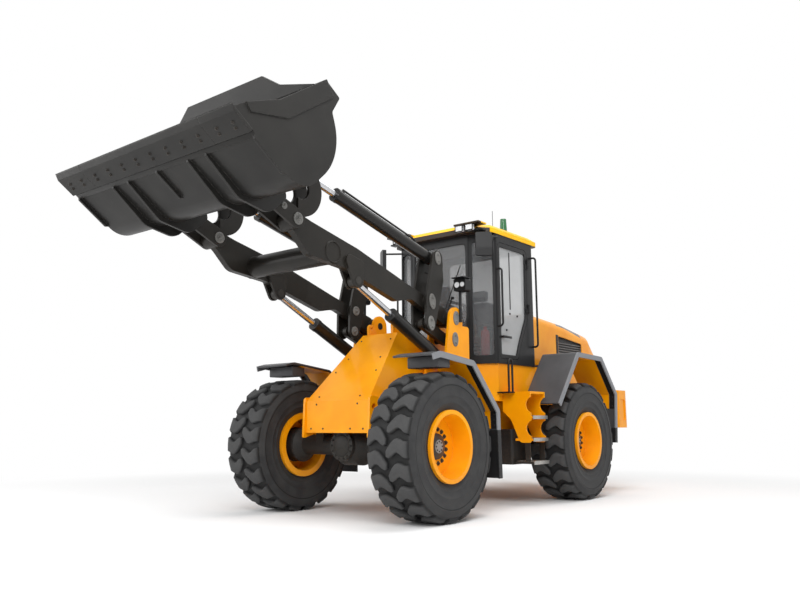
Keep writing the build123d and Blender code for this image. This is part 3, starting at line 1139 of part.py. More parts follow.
def bucket():
    """Bucket with side plates, cutters, spill guard and wear strips, its edge segments and hitch hooks."""
    turn = Pos(BUCKET_PIVOT[0], 0, BUCKET_PIVOT[1]) * Rot(0, -ROLL_BACK, 0)
    side_half = BUCKET_HALF_W - CUTTER_T
    region_line = [(FLOOR_U, FLOOR_V), HEEL, BACK, NECK, LIP_REAR, LIP_FRONT, SIDE_BEND, SIDE_LOW]
    region = slab("y", region_line, -side_half, side_half)
    mouth_line = [(MOUTH_U, FLOOR_V), HEEL, BACK, NECK, LIP_REAR, (MOUTH_U, LIP_FRONT[1])]
    hollow_face = offset(outline("y", mouth_line, -side_half + SHEET), amount=-SHEET, kind=Kind.INTERSECTION)
    hollow = extrude(hollow_face, amount=2 * (side_half - SHEET), dir=(0, 1, 0))
    shell = region - hollow

    top_u, top_v = GUARD_TOP
    lip_u, lip_v, _ = LIP_FRONT
    rise = Vector(top_u - lip_u, 0, top_v - lip_v)
    guard_plane = Plane(origin=(lip_u, 0, lip_v), x_dir=(0, 1, 0), z_dir=Vector(0, 1, 0).cross(rise))
    reach = rise.length if guard_plane.y_dir.dot(rise) > 0 else -rise.length
    root = -math.copysign(2 * SHEET, reach)
    top_half, shoulder_half, root_half = GUARD_HALF_W
    half_guard = [(root_half, root), (root_half, 0), (shoulder_half, reach * GUARD_SHOULDER), (top_half, reach)]
    guard_line = half_guard + [(-a, b) for a, b in reversed(half_guard)]
    guard = extrude(guard_plane * make_face(Polyline(guard_line, close=True)), amount=SHEET / 2, both=True)
    shell += guard - hollow.moved(Location((0, 0, -2 * SHEET)))

    bend = Vector(*SIDE_BEND[:2])
    low = Vector(*SIDE_LOW[:2])
    tip = Vector(*LIP_FRONT[:2])
    back = (bend - tip).normalized()
    square = Vector(-back.Y, back.X)
    if square.dot(Vector(*BACK[:2]) - tip) < 0:
        square = -square
    inner_bend = bend + square * CUTTER_DEPTH
    inner_tip = tip + square * CUTTER_DEPTH
    inner_low = low + square * (CUTTER_DEPTH * 0.5)
    cutter_line = [
        (tip.X, tip.Y), (bend.X, bend.Y), (low.X, low.Y), (inner_low.X, inner_low.Y),
        (inner_bend.X, inner_bend.Y, 60), (inner_tip.X, inner_tip.Y),
    ]
    for side in (1, -1):
        y0, y1 = sorted((side * (side_half - 1), side * BUCKET_HALF_W))
        shell += slab("y", cutter_line, y0, y1) & slab("y", region_line, y0, y1)
        y0, y1 = sorted((side * (side_half - SHEET), side * side_half))
        skid = [
            (SKID_U[1], FLOOR_V + 1), (SKID_U[1] - SKID_DEPTH, FLOOR_V - SKID_DEPTH),
            (SKID_U[0], FLOOR_V - SKID_DEPTH, 20), (SKID_U[0] - SKID_DEPTH, FLOOR_V + 1),
        ]
        shell += slab("y", skid, y0, y1)
        rib = [
            (RIB_FRONT_U, FLOOR_V + 1), (RIB_FRONT_U - RIB_DEPTH / 2, FLOOR_V - RIB_DEPTH / 2),
            (HEEL[0] + 170, FLOOR_V - RIB_DEPTH, 160), (HEEL[0] - 150, FLOOR_V + 90, 160), (BACK[0] - 85, 20, 40),
            (BACK[0] + 10, 110), (HEEL[0] - 40, FLOOR_V + 220), (HEEL[0] + 160, FLOOR_V + 1),
        ]
        for y in (ARM_Y - RIB_GAP, ARM_Y + RIB_GAP):
            shell += slab("y", rib, side * y - RIB_T / 2, side * y + RIB_T / 2) - hollow
    centre_rib = [
        (RIB_FRONT_U, FLOOR_V + 1), (RIB_FRONT_U - SKID_DEPTH, FLOOR_V - SKID_DEPTH),
        (HEEL[0] + 320, FLOOR_V - SKID_DEPTH, 20), (HEEL[0] + 290, FLOOR_V + 1),
    ]
    shell += slab("y", centre_rib, -RIB_T / 2, RIB_T / 2)
    parts = {"bucket_shell": turn * shell}

    wedge = [
        (EDGE_U - EDGE_LEN, FLOOR_V - SEAT), (EDGE_U - EDGE_LEN, FLOOR_V - EDGE_T),
        (EDGE_U - EDGE_BEVEL, FLOOR_V - EDGE_T), (EDGE_U, FLOOR_V - SEAT),
    ]
    split = EDGE_SPLIT_Y
    spans = (
        (-BUCKET_HALF_W, -split - EDGE_JOINT / 2), (-split + EDGE_JOINT / 2, split - EDGE_JOINT / 2),
        (split + EDGE_JOINT / 2, BUCKET_HALF_W),
    )
    parts["bucket_edge"] = turn * Compound([slab("y", wedge, y0, y1).solids()[0] for y0, y1 in spans])

    body = turn * region

    def hook(y0, y1):
        plate = pin_y(HOOK_CENTRE, HOOK_R, y0, y1)
        plate -= pin_y(HOOK_CENTRE, HOOK_R - HOOK_BAND, y0 - 1, y1 + 1)
        far = HOOK_CENTRE[0] + HOOK_R + 1
        plate -= block(HOOK_MOUTH_X, far, y0 - 1, y1 + 1, HOOK_CENTRE[1] - HOOK_R - 1, HOOK_CENTRE[1] + HOOK_R + 1)
        plate += hull_y([(*BUCKET_PIVOT, BUCKET_BOSS_R), (*HOOK_HEAD, HOOK_HEAD_R), (*HOOK_FOOT, 50)], y0, y1)
        arm_z = HOOK_CENTRE[1] + HOOK_R - HOOK_BAND / 2
        plate += hull_y([(HOOK_MOUTH_X - 40, arm_z, HOOK_BAND / 2), (*HOOK_TOP, HOOK_TOP_R)], y0, y1)
        return plate - pin_y(BUCKET_PIVOT, PIN_R + SLIDE, y0 - 1, y1 + 1)

    left, right = straddle(hook, CHEEK_IN, CHEEK_OUT)
    x0, x1, z0, z1 = HOOK_TIE
    tie = block(x0, x1, ARM_Y - CHEEK_OUT, ARM_Y + CHEEK_OUT, z0, z1)
    parts["hitch_hooks"] = both((left + right + tie) - body)
    return parts


def fittings():
    """Headlamps, mirrors, rails and the beacon."""
    parts = {}
    x, y, z = LAMP_AT
    deep, wide, tall = LAMP_SIZE
    face = [
        (y - wide / 2, z - tall / 2, LAMP_R), (y + wide / 2, z - tall / 2, LAMP_R),
        (y + wide / 2, z + tall / 2, LAMP_R), (y - wide / 2, z + tall / 2, LAMP_R),
    ]
    lamp = slab("x", face, x - deep / 2, x + deep / 2)
    post_y = ARM_Y + TOWER_OUT + LAMP_POST_R + SEAT
    lamp += pin_z(x, post_y, LAMP_POST_R, LAMP_POST_Z, z - tall / 2 + 10)
    parts["headlamps"] = both(lamp)

    x, y, z = MIRROR_AT
    thick, wide, tall = MIRROR_SIZE
    face = [(a * wide / 2, b * tall / 2, MIRROR_R) for a, b in ((-1, -1), (1, -1), (1, 1), (-1, 1))]
    head = Pos(x, y, z) * Rot(0, 0, MIRROR_TURN) * slab("x", face, -thick / 2, thick / 2)
    top = z + tall / 2 - 45
    head += bar((x, y, top), (CAB_CORNER_X - 30, CAB_HALF_W + MIRROR_ARM_R + SEAT, top + 60), MIRROR_ARM_R)
    parts["mirrors"] = both(head)

    y0 = CAB_HALF_W + SEAT
    y1 = CAB_HALF_W + RAIL_STAND
    rails = []
    for rail_x, (low, high) in ((PILLAR_RAIL_X, PILLAR_RAIL_Z), (DOOR_RAIL_X, DOOR_RAIL_Z)):
        line = [(rail_x, y0, low), (rail_x, y1, low), (rail_x, y1, high), (rail_x, y0, high)]
        rails.append(tube(line, RAIL_R, RAIL_BEND))
    x0, x1 = LOOP_X
    foot = STEP_TOP_Z - LOOP_FOOT_T
    loop = tube(
        [(x0, LOOP_Y, foot + 1), (x0, LOOP_Y, LOOP_TOP_Z), (x1, LOOP_Y, LOOP_TOP_Z), (x1, LOOP_Y, foot + 1)],
        RAIL_R, RAIL_BEND,
    )
    hang_y = CAB_HALF_W - PLATFORM_IN + SEAT
    rails.append(loop + block(x0 - RAIL_R - 4, x1 + RAIL_R + 4, hang_y, LOOP_Y + RAIL_R + 4, foot, STEP_TOP_Z))
    parts["hand_rails"] = Compound([s for rail in rails for s in both(rail).solids()])

    x, y = BEACON_AT
    low, high = BEACON_Z
    beacon = pin_z(x, y, BEACON_POLE_R, CAB_TOP_Z + ROOF_T + SEAT, low + 1)
    beacon += Pos(x, y, low) * Cone(BEACON_R[0], BEACON_R[1], high - low, align=ON_AXIS)
    parts["beacon"] = beacon
    return parts


def main():
    os.makedirs("parts", exist_ok=True)
    for group in (wheels_and_axles, rear_frame, fenders, cab, hood, steps, front_frame, linkage, bucket, fittings):
        for name, shape in group().items():
            export_step(Pos(-X_MIDDLE, 0, 0) * shape, "parts/" + name + ".step")


if __name__ == "__main__":
    main()
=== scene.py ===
import math

import bmesh
import bpy
from mathutils import Matrix, Vector


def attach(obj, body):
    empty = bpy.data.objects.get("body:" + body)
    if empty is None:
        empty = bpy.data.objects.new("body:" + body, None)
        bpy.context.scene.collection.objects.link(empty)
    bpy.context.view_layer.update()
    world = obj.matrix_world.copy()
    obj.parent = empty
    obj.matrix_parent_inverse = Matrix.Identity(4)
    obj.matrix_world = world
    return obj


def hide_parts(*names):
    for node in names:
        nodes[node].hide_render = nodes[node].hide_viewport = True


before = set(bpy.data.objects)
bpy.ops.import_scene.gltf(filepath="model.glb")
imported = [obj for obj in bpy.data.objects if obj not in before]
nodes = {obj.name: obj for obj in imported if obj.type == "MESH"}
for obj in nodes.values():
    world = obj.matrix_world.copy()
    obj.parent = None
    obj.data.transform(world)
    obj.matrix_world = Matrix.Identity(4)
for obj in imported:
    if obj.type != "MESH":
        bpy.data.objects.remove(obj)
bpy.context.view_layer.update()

# Camera: a slightly wide lens at waist height off the machine's front left corner, tipped up to take in
# the raised bucket. Its place, turn and focal length were fitted to the wheels in the photograph.
scene = bpy.context.scene
EYE = Vector((7.4734, 5.7948, 0.9679))
HEADING = math.radians(218.937)
TIP_UP = math.radians(9.102)
LEAN = math.radians(-0.338)
SENSOR_MM = 36.0
FOCAL_MM = 34.88
FARTHEST_M = 200.0
forward = Vector((
    math.cos(HEADING) * math.cos(TIP_UP), math.sin(HEADING) * math.cos(TIP_UP), math.sin(TIP_UP),
))
level_right = forward.cross(Vector((0, 0, 1))).normalized()
level_up = level_right.cross(forward)
right = level_right * math.cos(LEAN) + level_up * math.sin(LEAN)
upward = level_up * math.cos(LEAN) - level_right * math.sin(LEAN)
lens = bpy.data.cameras.new("camera")
lens.sensor_fit = "HORIZONTAL"
lens.sensor_width = SENSOR_MM
lens.lens = FOCAL_MM
lens.clip_end = FARTHEST_M
camera = bpy.data.objects.new("camera", lens)
camera.matrix_world = (
    Matrix.Translation(EYE) @ Matrix((right, upward, -forward)).transposed().to_4x4()
)
scene.collection.objects.link(camera)
scene.camera = camera


# Studio: a white floor that runs out into a white sky, so the machine stands on nothing but its own
# soft shadow. A wide key lamp hangs in front on the left, a weaker one fills from the right and one
# lights the roof.
class Value:
    """One value on a surface. Arithmetic on it adds the maths nodes to its material."""

    def __init__(self, finish, socket):
        self.finish = finish
        self.socket = socket

    def maths(self, operation, first, second):
        return self.finish.node("Math", {0: first, 1: second}, operation=operation)

    def __add__(self, other):
        return self.maths("ADD", self, other)

    def __sub__(self, other):
        return self.maths("SUBTRACT", self, other)

    def __rsub__(self, other):
        return self.maths("SUBTRACT", other, self)

    def __mul__(self, other):
        return self.maths("MULTIPLY", self, other)

    def __gt__(self, other):
        return self.maths("GREATER_THAN", self, other)

    def __lt__(self, other):
        return self.maths("LESS_THAN", self, other)

    def __abs__(self):
        return self.maths("ABSOLUTE", self, 0.0)

    __radd__ = __add__
    __rmul__ = __mul__

    def out(self, name):
        return Value(self.finish, self.socket.node.outputs[name])


class Finish:
    """A material, or the world, in the making: a node tree and the ways to add to it."""

    def __init__(self, owner):
        owner.use_nodes = True
        self.owner = owner
        self.tree = owner.node_tree
        self.tree.nodes.clear()

    def node(self, kind, sockets=None, **settings):
        made = self.tree.nodes.new("ShaderNode" + kind)
        for name, value in settings.items():
            setattr(made, name, value)
        for name, value in (sockets or {}).items():
            if isinstance(value, Value):
                self.tree.links.new(value.socket, made.inputs[name])
            else:
                made.inputs[name].default_value = value
        return Value(self, made.outputs[0]) if made.outputs else None

    def spot(self):
        """Place on the piece."""
        return self.node("TexCoord").out("Object")

    def split(self, vector):
        """A vector with outputs X, Y and Z."""
        return self.node("SeparateXYZ", {0: vector})

    def either(self, first, second):
        """Sum of two masks, kept within 0 and 1."""
        return self.node("Math", {0: first, 1: second}, operation="ADD", use_clamp=True)

    def sine(self, angle):
        return self.node("Math", {0: angle}, operation="SINE")

    def length(self, run, rise):
        return self.node("Math", {0: run * run + rise * rise}, operation="SQRT")


def material(name):
    """New finish with a name."""
    return Finish(bpy.data.materials.new(name))


def step(finish, value, low, high):
    """Smooth rise from 0 to 1 between two values."""
    sockets = {"Value": value, "From Min": low, "From Max": high}
    return finish.node("MapRange", sockets, interpolation_type="SMOOTHSTEP")


def looked_at(finish):
    """1 on rays from the camera, mirrors and glass, and 0 on rays that carry the room's light."""
    rays = finish.node("LightPath")
    return finish.either(
        rays.out("Is Camera Ray"), rays.out("Is Glossy Ray") + rays.out("Is Transmission Ray"),
    )


FLOOR_R = 60.0
FADE_FROM = 5.0
FADE_TO = 9.0
FLOOR_WHITE = (0.92, 0.92, 0.92, 1)
WHITE = (1, 1, 1, 1)
SKY_LIGHT = 0.52
# columns: name, place, aim, size, watts
LAMPS = (
    ("key", (9.0, 7.0, 9.0), (0.5, 0, 1.5), 7.0, 1150),
    ("fill", (8.0, -8.0, 5.0), (0.5, 0, 1.8), 7.0, 380),
    ("top", (-2.0, 2.0, 11.0), (0, 0, 1.5), 8.0, 560),
)
floor_mesh = bmesh.new()
bmesh.ops.create_circle(floor_mesh, cap_ends=True, segments=64, radius=FLOOR_R)
floor_data = bpy.data.meshes.new("floor")
floor_mesh.to_mesh(floor_data)
floor_mesh.free()
floor = bpy.data.objects.new("floor", floor_data)
scene.collection.objects.link(floor)
floor_finish = material("studio_floor")
reach = floor_finish.node("VectorMath", {0: floor_finish.spot()}, operation="LENGTH")
far = step(floor_finish, reach.out("Value"), FADE_FROM, FADE_TO)
matt = floor_finish.node("BsdfDiffuse", {"Color": FLOOR_WHITE})
glow = floor_finish.node("Emission", {"Color": WHITE, "Strength": 1.0})
share = far * looked_at(floor_finish)
ground = floor_finish.node("MixShader", {0: share, 1: matt, 2: glow})
floor_finish.node("OutputMaterial", {"Surface": ground})
floor_data.materials.append(floor_finish.owner)

world = bpy.data.worlds.new("studio")
scene.world = world
sky = Finish(world)
plain = sky.node("Background", {"Color": WHITE, "Strength": SKY_LIGHT})
bright = sky.node("Background", {"Color": WHITE, "Strength": 1.0})
both = sky.node("MixShader", {0: looked_at(sky), 1: plain, 2: bright})
sky.node("OutputWorld", {"Surface": both})

for lamp_name, place, aim, size, watts in LAMPS:
    lamp = bpy.data.lights.new(lamp_name, "AREA")
    lamp.size = size
    lamp.energy = watts
    holder = bpy.data.objects.new(lamp_name, lamp)
    holder.location = place
    holder.rotation_euler = (Vector(aim) - Vector(place)).to_track_quat("-Z", "Y").to_euler()
    scene.collection.objects.link(holder)
scene.view_settings.view_transform = "Standard"


# Tyres: black natural rubber, moulded in one piece over a steel belt. Two rows of deep wavy lugs meet
# in the middle of the tread, and fine mould rings run round the sidewalls.
HINGE_X = -0.45543  # the steering hinge in the frame; places are given from it
WHEEL_X = 1.54
WHEEL_Y = 1.04
TYRE_R = 0.745
TYRE_STEPS = 100
LUG_COUNT = 20
LUG_ROOT = 0.690
LUG_FLARE = 1.22
LUG_EDGE = 0.007
SHARP_EDGE = 0.6
GROOVE_R = 0.608
SIDEWALL_R = 0.68
# columns: distance from the tyre's middle, radius
TYRE_HALF = (
    (0.205, 0.3190), (0.209, 0.364), (0.222, 0.392), (0.238, 0.428), (0.243, 0.432),
    (0.245, 0.444), (0.243, 0.450), (0.254, 0.495), (0.258, 0.500), (0.259, 0.512),
    (0.257, 0.517), (0.263, 0.560), (0.262, 0.610), (0.264, 0.614), (0.263, 0.628),
    (0.260, 0.632), (0.254, 0.672), (0.240, 0.695), (0.200, 0.703), (0.0, 0.706),
)
# columns: distance from the middle, shift round the tyre, half-width, height above the root
LUG_LINE = (
    (0.004, -0.052, 0.026, 0.053), (0.030, -0.040, 0.050, 0.055), (0.065, -0.010, 0.062, 0.055),
    (0.100, 0.020, 0.063, 0.055), (0.135, 0.030, 0.063, 0.055), (0.170, 0.016, 0.067, 0.055),
    (0.205, -0.006, 0.073, 0.052), (0.235, -0.012, 0.077, 0.040), (0.250, -0.012, 0.077, 0.020),
)
# columns: name, x of the axle, side
WHEELS = (
    ("front_left", WHEEL_X, 1), ("front_right", WHEEL_X, -1),
    ("rear_left", -WHEEL_X, 1), ("rear_right", -WHEEL_X, -1),
)


def srgb(red, green, blue):
    """Linear colour of a display colour given as 0 to 255."""
    parts = [c / 255 for c in (red, green, blue)]
    return (*[c / 12.92 if c <= 0.04045 else ((c + 0.055) / 1.055) ** 2.4 for c in parts], 1.0)


def settle(name, mesh, body, finish, soft_angle=35.0):
    """Turn a finished bmesh into a piece that rides on a body."""
    data = bpy.data.meshes.new(name)
    mesh.to_mesh(data)
    mesh.free()
    data.materials.append(finish)
    data.polygons.foreach_set("use_smooth", [True] * len(data.polygons))
    data.set_sharp_from_angle(angle=math.radians(soft_angle))
    piece = bpy.data.objects.new(name, data)
    scene.collection.objects.link(piece)
    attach(piece, body)
    return piece


def surface(finish, colour, rough, skin, metal=0.0, coat=0.0, sheen=0.35):
    """Close a finish with its shader."""
    shader = finish.node("BsdfPrincipled", {
        "Base Color": colour, "Roughness": rough, "Metallic": metal, "Coat Weight": coat,
        "Normal": skin, "Specular IOR Level": sheen,
    })
    finish.node("OutputMaterial", {"Surface": shader})
    return finish.owner


def mixed(finish, share, first, second):
    """Colour between two colours, each from a finish or a display colour."""
    first, second = [c if isinstance(c, Value) else srgb(*c) for c in (first, second)]
    return finish.node("Mix", {0: share, 6: first, 7: second}, data_type="RGBA").out(2)


def noise(finish, spot, scale, detail=3.0):
    """Cloudy noise about one half."""
    sockets = {"Vector": spot, "Scale": scale, "Detail": detail}
    return finish.node("TexNoise", sockets)


def bump(finish, height, strength, depth, under=None):
    """Fine relief, laid over another one where that is given."""
    sockets = {"Strength": strength, "Distance": depth, "Height": height}
    if under is not None:
        sockets["Normal"] = under
    return finish.node("Bump", sockets)


def from_axle(finish, spot):
    """Distance from the nearest axle's line."""
    place = finish.split(spot)
    return finish.length(abs(place.out("X") - HINGE_X) - WHEEL_X, place.out("Z") - TYRE_R)


def spun(mesh, points, centre, axis, steps, closed=False):
    """Sweep a line of points a full turn round an axis."""
    corners = [mesh.verts.new(point) for point in points]
    onward = corners[1:] + corners[:1] if closed else corners[1:]
    line = [mesh.edges.new(pair) for pair in zip(corners, onward)]
    bmesh.ops.spin(
        mesh, geom=corners + line, cent=centre, axis=axis, angle=math.tau, steps=steps,
        use_merge=True,
    )


def fresh_corners(made):
    """Corners that an extrusion made."""
    return [part for part in made["geom"] if isinstance(part, bmesh.types.BMVert)]


def absorb(mesh, part):
    """Move a bmesh into another one."""
    lump = bpy.data.meshes.new("lump")
    part.to_mesh(lump)
    part.free()
    mesh.from_mesh(lump)
    bpy.data.meshes.remove(lump)


rubber = material("moulded_rubber")
spot = rubber.spot()
from_hub = from_axle(rubber, spot)
cloud = noise(rubber, spot, 7.0, 5.0)
fine = noise(rubber, spot, 260.0, 2.0)
# The lug tops are made lighter grey and a little rougher, in patches.
lug_top_mask = step(rubber, from_hub + (cloud - 0.5) * 0.02, 0.712, 0.742)
lug_top_mask = lug_top_mask * (0.35 + noise(rubber, spot, 40.0) * 0.5)
tone = mixed(rubber, step(rubber, cloud, 0.3, 0.7), (46, 46, 47), (58, 58, 58))
tone = mixed(rubber, lug_top_mask * 0.6, tone, (88, 88, 88))
# Painted shade: the groove floors between the lugs and the lugs' lower sides are darkened, where shade
# falls in the tread.
groove_floor_shade = step(rubber, from_hub, 0.688, 0.698) * (1.0 - step(rubber, from_hub, 0.707, 0.730))
tone = mixed(rubber, groove_floor_shade * 0.75, tone, (20, 20, 20))
# Painted shade: the groove round each sidewall is coloured near black, as well as pressed in by the
# relief.
shaded_groove = 1.0 - step(rubber, abs(from_hub - GROOVE_R), 0.002, 0.007)
tone = mixed(rubber, shaded_groove, tone, (18, 18, 18))
rings = rubber.sine(from_hub * 900.0) * 0.12 * (from_hub < SIDEWALL_R)
grain = bump(rubber, fine * 0.6 + rings + cloud * 0.8 - shaded_groove * 1.5, 0.5, 0.003)
rubber_black = surface(
    rubber, tone, 0.62 + (cloud - 0.5) * 0.3 + lug_top_mask * 0.15, grain, sheen=0.25,
)

tyre_mesh = bmesh.new()
left_half = [(0, w, r) for w, r in reversed(TYRE_HALF)]
right_half = [(0, -w, r) for w, r in TYRE_HALF[:-1]]
spun(tyre_mesh, right_half + left_half, (0, 0, 0), (0, 1, 0), TYRE_STEPS, closed=True)
bmesh.ops.remove_doubles(tyre_mesh, verts=tyre_mesh.verts, dist=0.0002)
stations = len(LUG_LINE) - 1
for hand, phase in ((1, 0.0), (-1, 0.5)):
    lug = bmesh.new()
    bmesh.ops.create_grid(lug, x_segments=stations, y_segments=2, size=1.0)
    for corner in lug.verts:
        w, shift, half, tall = LUG_LINE[round((corner.co.x + 1) / 2 * stations)]
        corner.co = Vector((hand * w, shift + corner.co.y * half, tall))
    foot = bmesh.ops.extrude_face_region(lug, geom=list(lug.faces))
    for corner in fresh_corners(foot):
        shift = min(LUG_LINE, key=lambda row: abs(row[0] - abs(corner.co.x)))[1]
        corner.co = Vector((corner.co.x, shift + (corner.co.y - shift) * LUG_FLARE, 0.0))
    bmesh.ops.recalc_face_normals(lug, faces=lug.faces)
    sharp = [
        edge for edge in lug.edges
        if edge.calc_face_angle(0.0) > SHARP_EDGE and min(v.co.z for v in edge.verts) > 0.005
    ]
    bmesh.ops.bevel(
        lug, geom=sharp, affect="EDGES", offset=LUG_EDGE, segments=2, profile=0.5, material=-1,
    )
    for corner in lug.verts:
        angle = corner.co.y / TYRE_R
        radius = LUG_ROOT + corner.co.z
        corner.co = Vector((radius * math.sin(angle), corner.co.x, -radius * math.cos(angle)))
    for index in range(LUG_COUNT):
        turn = Matrix.Rotation(math.tau * (index + phase) / LUG_COUNT, 3, "Y")
        one = lug.copy()
        bmesh.ops.rotate(one, verts=one.verts, cent=(0, 0, 0), matrix=turn)
        absorb(tyre_mesh, one)
    lug.free()
bmesh.ops.recalc_face_normals(tyre_mesh, faces=tyre_mesh.faces)
half_turn = Matrix.Rotation(math.pi, 3, "Z")
for name, x, hand in WHEELS:
    one = tyre_mesh.copy()
    if hand < 0:
        bmesh.ops.rotate(one, verts=one.verts, cent=(0, 0, 0), matrix=half_turn)
    bmesh.ops.translate(one, verts=one.verts, vec=(x + HINGE_X, hand * WHEEL_Y, TYRE_R))
    piece = settle("lugged_tyre_" + name, one, "wheel_" + name, rubber_black, 40.0)
    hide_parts("tyre_" + name)
tyre_mesh.free()


# Rims: pressed and welded steel in the body's yellow, with a cast planet hub in dark grey bolted into
# the middle of the disc. A ring of nuts holds each wheel, and the hub's face carries its own small
# bolts.
HUB_R = 0.131
HUB_FACE_R = 0.066
MASK_EDGE = 0.002
# columns: distance out from the tyre's middle, radius, count, turn in steps, size
NUT_CIRCLES = ((0.045, 0.172, 16, 0.5, 0.0135), (0.088, 0.050, 8, 0.0, 0.0055))
# columns: sides, radius, foot, height, all but the sides as shares of the bolt's size
BOLT_PARTS = ((20, 1.75, 0.0, 0.35), (6, 1.15, 0.35, 0.95), (12, 0.55, 1.3, 0.35))
BOLT_TAPER = 0.93
# display colours: a tone and its shade
YELLOWS = ((250, 166, 2), (240, 150, 0))
STEEL_GREYS = ((150, 150, 148), (128, 128, 126))
CAST_GREYS = ((58, 57, 56), (44, 43, 42))
DUST = (150, 128, 100)


def paint_parts(finish, radius=0.006):
    """What every painted finish reads: places, soft edges, clouds, specks and worn edges."""
    spot = finish.spot()
    soft = finish.node("Bevel", {"Radius": radius}, samples=4)
    flat = finish.node("NewGeometry").out("Normal")
    along = finish.node("VectorMath", {0: soft, 1: flat}, operation="DOT_PRODUCT")
    cloud = noise(finish, spot, 2.6, 4.0)
    speck = noise(finish, spot, 55.0, 4.0)
    edge = step(finish, 1.0 - along.out("Value"), 0.06, 0.30) * step(finish, speck, 0.44, 0.62)
    return spot, soft, cloud, speck, edge


def painted(finish, parts, colour, shade, worn, rough, coat, peel=0.0011):
    """Sprayed paint: cloudy tone, a little dust low down, worn edges and an orange-peel skin."""
    spot, soft, cloud, speck, edge = parts
    tone = mixed(finish, step(finish, cloud, 0.25, 0.75), colour, shade)
    low = 1.1 - finish.split(spot).out("Z")
    dust = step(finish, low + (speck - 0.5) * 0.9, 0.0, 1.4) * 0.12
    tone = mixed(finish, dust, tone, DUST)
    tone = mixed(finish, edge * 0.55, tone, worn)
    ripple = noise(finish, spot, 210.0, 1.0) + noise(finish, spot, 24.0, 2.0) * 0.8
    skin = bump(finish, ripple, 0.25, peel, soft)
    roughness = rough + (cloud - 0.5) * 0.12 + dust * 0.5 + edge * 0.2
    return surface(finish, tone, roughness, skin, coat=coat, sheen=0.2)


def enamel(name, colour, shade, worn, rough, coat, radius=0.006, peel=0.0011):
    """Paint of one colour: its two tones, and what shows where an edge is worn."""
    finish = material(name)
    return painted(finish, paint_parts(finish, radius), colour, shade, worn, rough, coat, peel)


def two_tone(finish, parts, mask, plain, masked, worn, rough, coat):
    """Paint of two colours parted by a mask, each given with its shade."""
    colour, shade = [mixed(finish, mask, *pair) for pair in zip(plain, masked)]
    return painted(finish, parts, colour, shade, worn, rough, coat)


def dress(finish, *names):
    """Give CAD nodes a finish."""
    for name in names:
        nodes[name].data.materials.clear()
        nodes[name].data.materials.append(finish)


def disc(mesh, place, outward, low, tall, radius, taper, sides):
    """Disc that stands out from a place along a direction, between two heights above it."""
    turn = Vector(outward).to_track_quat("Z", "Y").to_matrix().to_4x4()
    bmesh.ops.create_cone(
        mesh, cap_ends=True, segments=sides, radius1=radius, radius2=radius * taper, depth=tall,
        matrix=Matrix.Translation(place) @ turn @ Matrix.Translation((0, 0, low + tall / 2)),
    )


def bolts(mesh, places, outward, size):
    """Hexagon heads on washers that stand out along a direction."""
    for place in places:
        for sides, wide, low, tall in BOLT_PARTS:
            disc(mesh, place, outward, size * low, size * tall, size * wide, BOLT_TAPER, sides)


def bolt_circle(middle, level, radius, count, offset=0.0):
    """Places round an upright circle, given the level direction in its plane."""
    places = []
    for index in range(count):
        angle = math.tau * (index + offset) / count
        across = Vector(level) * radius * math.cos(angle)
        places.append(Vector(middle) + across + Vector((0, 0, radius * math.sin(angle))))
    return places


rim_paint = material("rim_enamel")
parts = paint_parts(rim_paint, 0.008)
from_hub = from_axle(rim_paint, parts[0])
hub = 1.0 - step(rim_paint, from_hub, HUB_R, HUB_R + MASK_EDGE)
face = 1.0 - step(rim_paint, from_hub, HUB_FACE_R, HUB_FACE_R + MASK_EDGE)
hub_tones = [mixed(rim_paint, hub, *pair) for pair in zip(YELLOWS, CAST_GREYS)]
rim_yellow = two_tone(
    rim_paint, parts, face, hub_tones, STEEL_GREYS, (140, 100, 50), 0.40, 0.12,
)
bolt_dark = enamel("bolt_steel", (66, 62, 58), (48, 45, 42), (150, 146, 140), 0.42, 0.0, 0.002)
for name, x, hand in WHEELS:
    dress(rim_yellow, "rim_" + name)
    nuts = bmesh.new()
    for out, radius, count, offset, size in NUT_CIRCLES:
        middle = (x + HINGE_X, hand * (WHEEL_Y + out), TYRE_R)
        spots = bolt_circle(middle, (1, 0, 0), radius, count, offset)
        bolts(nuts, spots, (0, hand, 0), size)
    settle("wheel_nuts_" + name, nuts, "wheel_" + name, bolt_dark)


# Axles: cast-iron housings in dark grey primer. A bolted cover closes each differential on the side
# away from the hinge, and two raised bands ring each wheel-end drum.
COVER_X = 0.232
COVER_RING = 0.138
COVER_BOLTS = 14
COVER_R = 0.118
COVER_TOP_R = 0.095
COVER_TALL = 0.016
BAND_R = 0.190
BAND_Y = (0.815, 0.945)
# columns: along the axle, out from the band's radius
BAND_LINE = ((-0.012, -0.010), (-0.010, 0.006), (0.010, 0.006), (0.012, -0.010))
axle_grey = enamel(
    "axle_primer", (46, 45, 45), (34, 34, 33), (104, 100, 96), 0.5, 0.0, 0.008, 0.004,
)
dress(axle_grey, "front_axle", "rear_axle")
for name, x, nose in (("front", WHEEL_X, 1), ("rear", -WHEEL_X, -1)):
    heads = bmesh.new()
    middle = (x + nose * COVER_X + HINGE_X, 0, TYRE_R)
    spots = bolt_circle(middle, (0, 1, 0), COVER_RING, COVER_BOLTS)
    bolts(heads, spots, (nose, 0, 0), 0.009)
    disc(heads, middle, (nose, 0, 0), 0.0, COVER_TALL, COVER_R, COVER_TOP_R / COVER_R, 48)
    for hand in (1, -1):
        for y in BAND_Y:
            line = [(x + HINGE_X, hand * (y + dy), TYRE_R + BAND_R + dr) for dy, dr in BAND_LINE]
            spun(heads, line, (x + HINGE_X, hand * y, TYRE_R), (0, 1, 0), 64)
    bmesh.ops.recalc_face_normals(heads, faces=heads.faces)
    settle(name + "_axle_bolts", heads, name + "_frame", axle_grey)


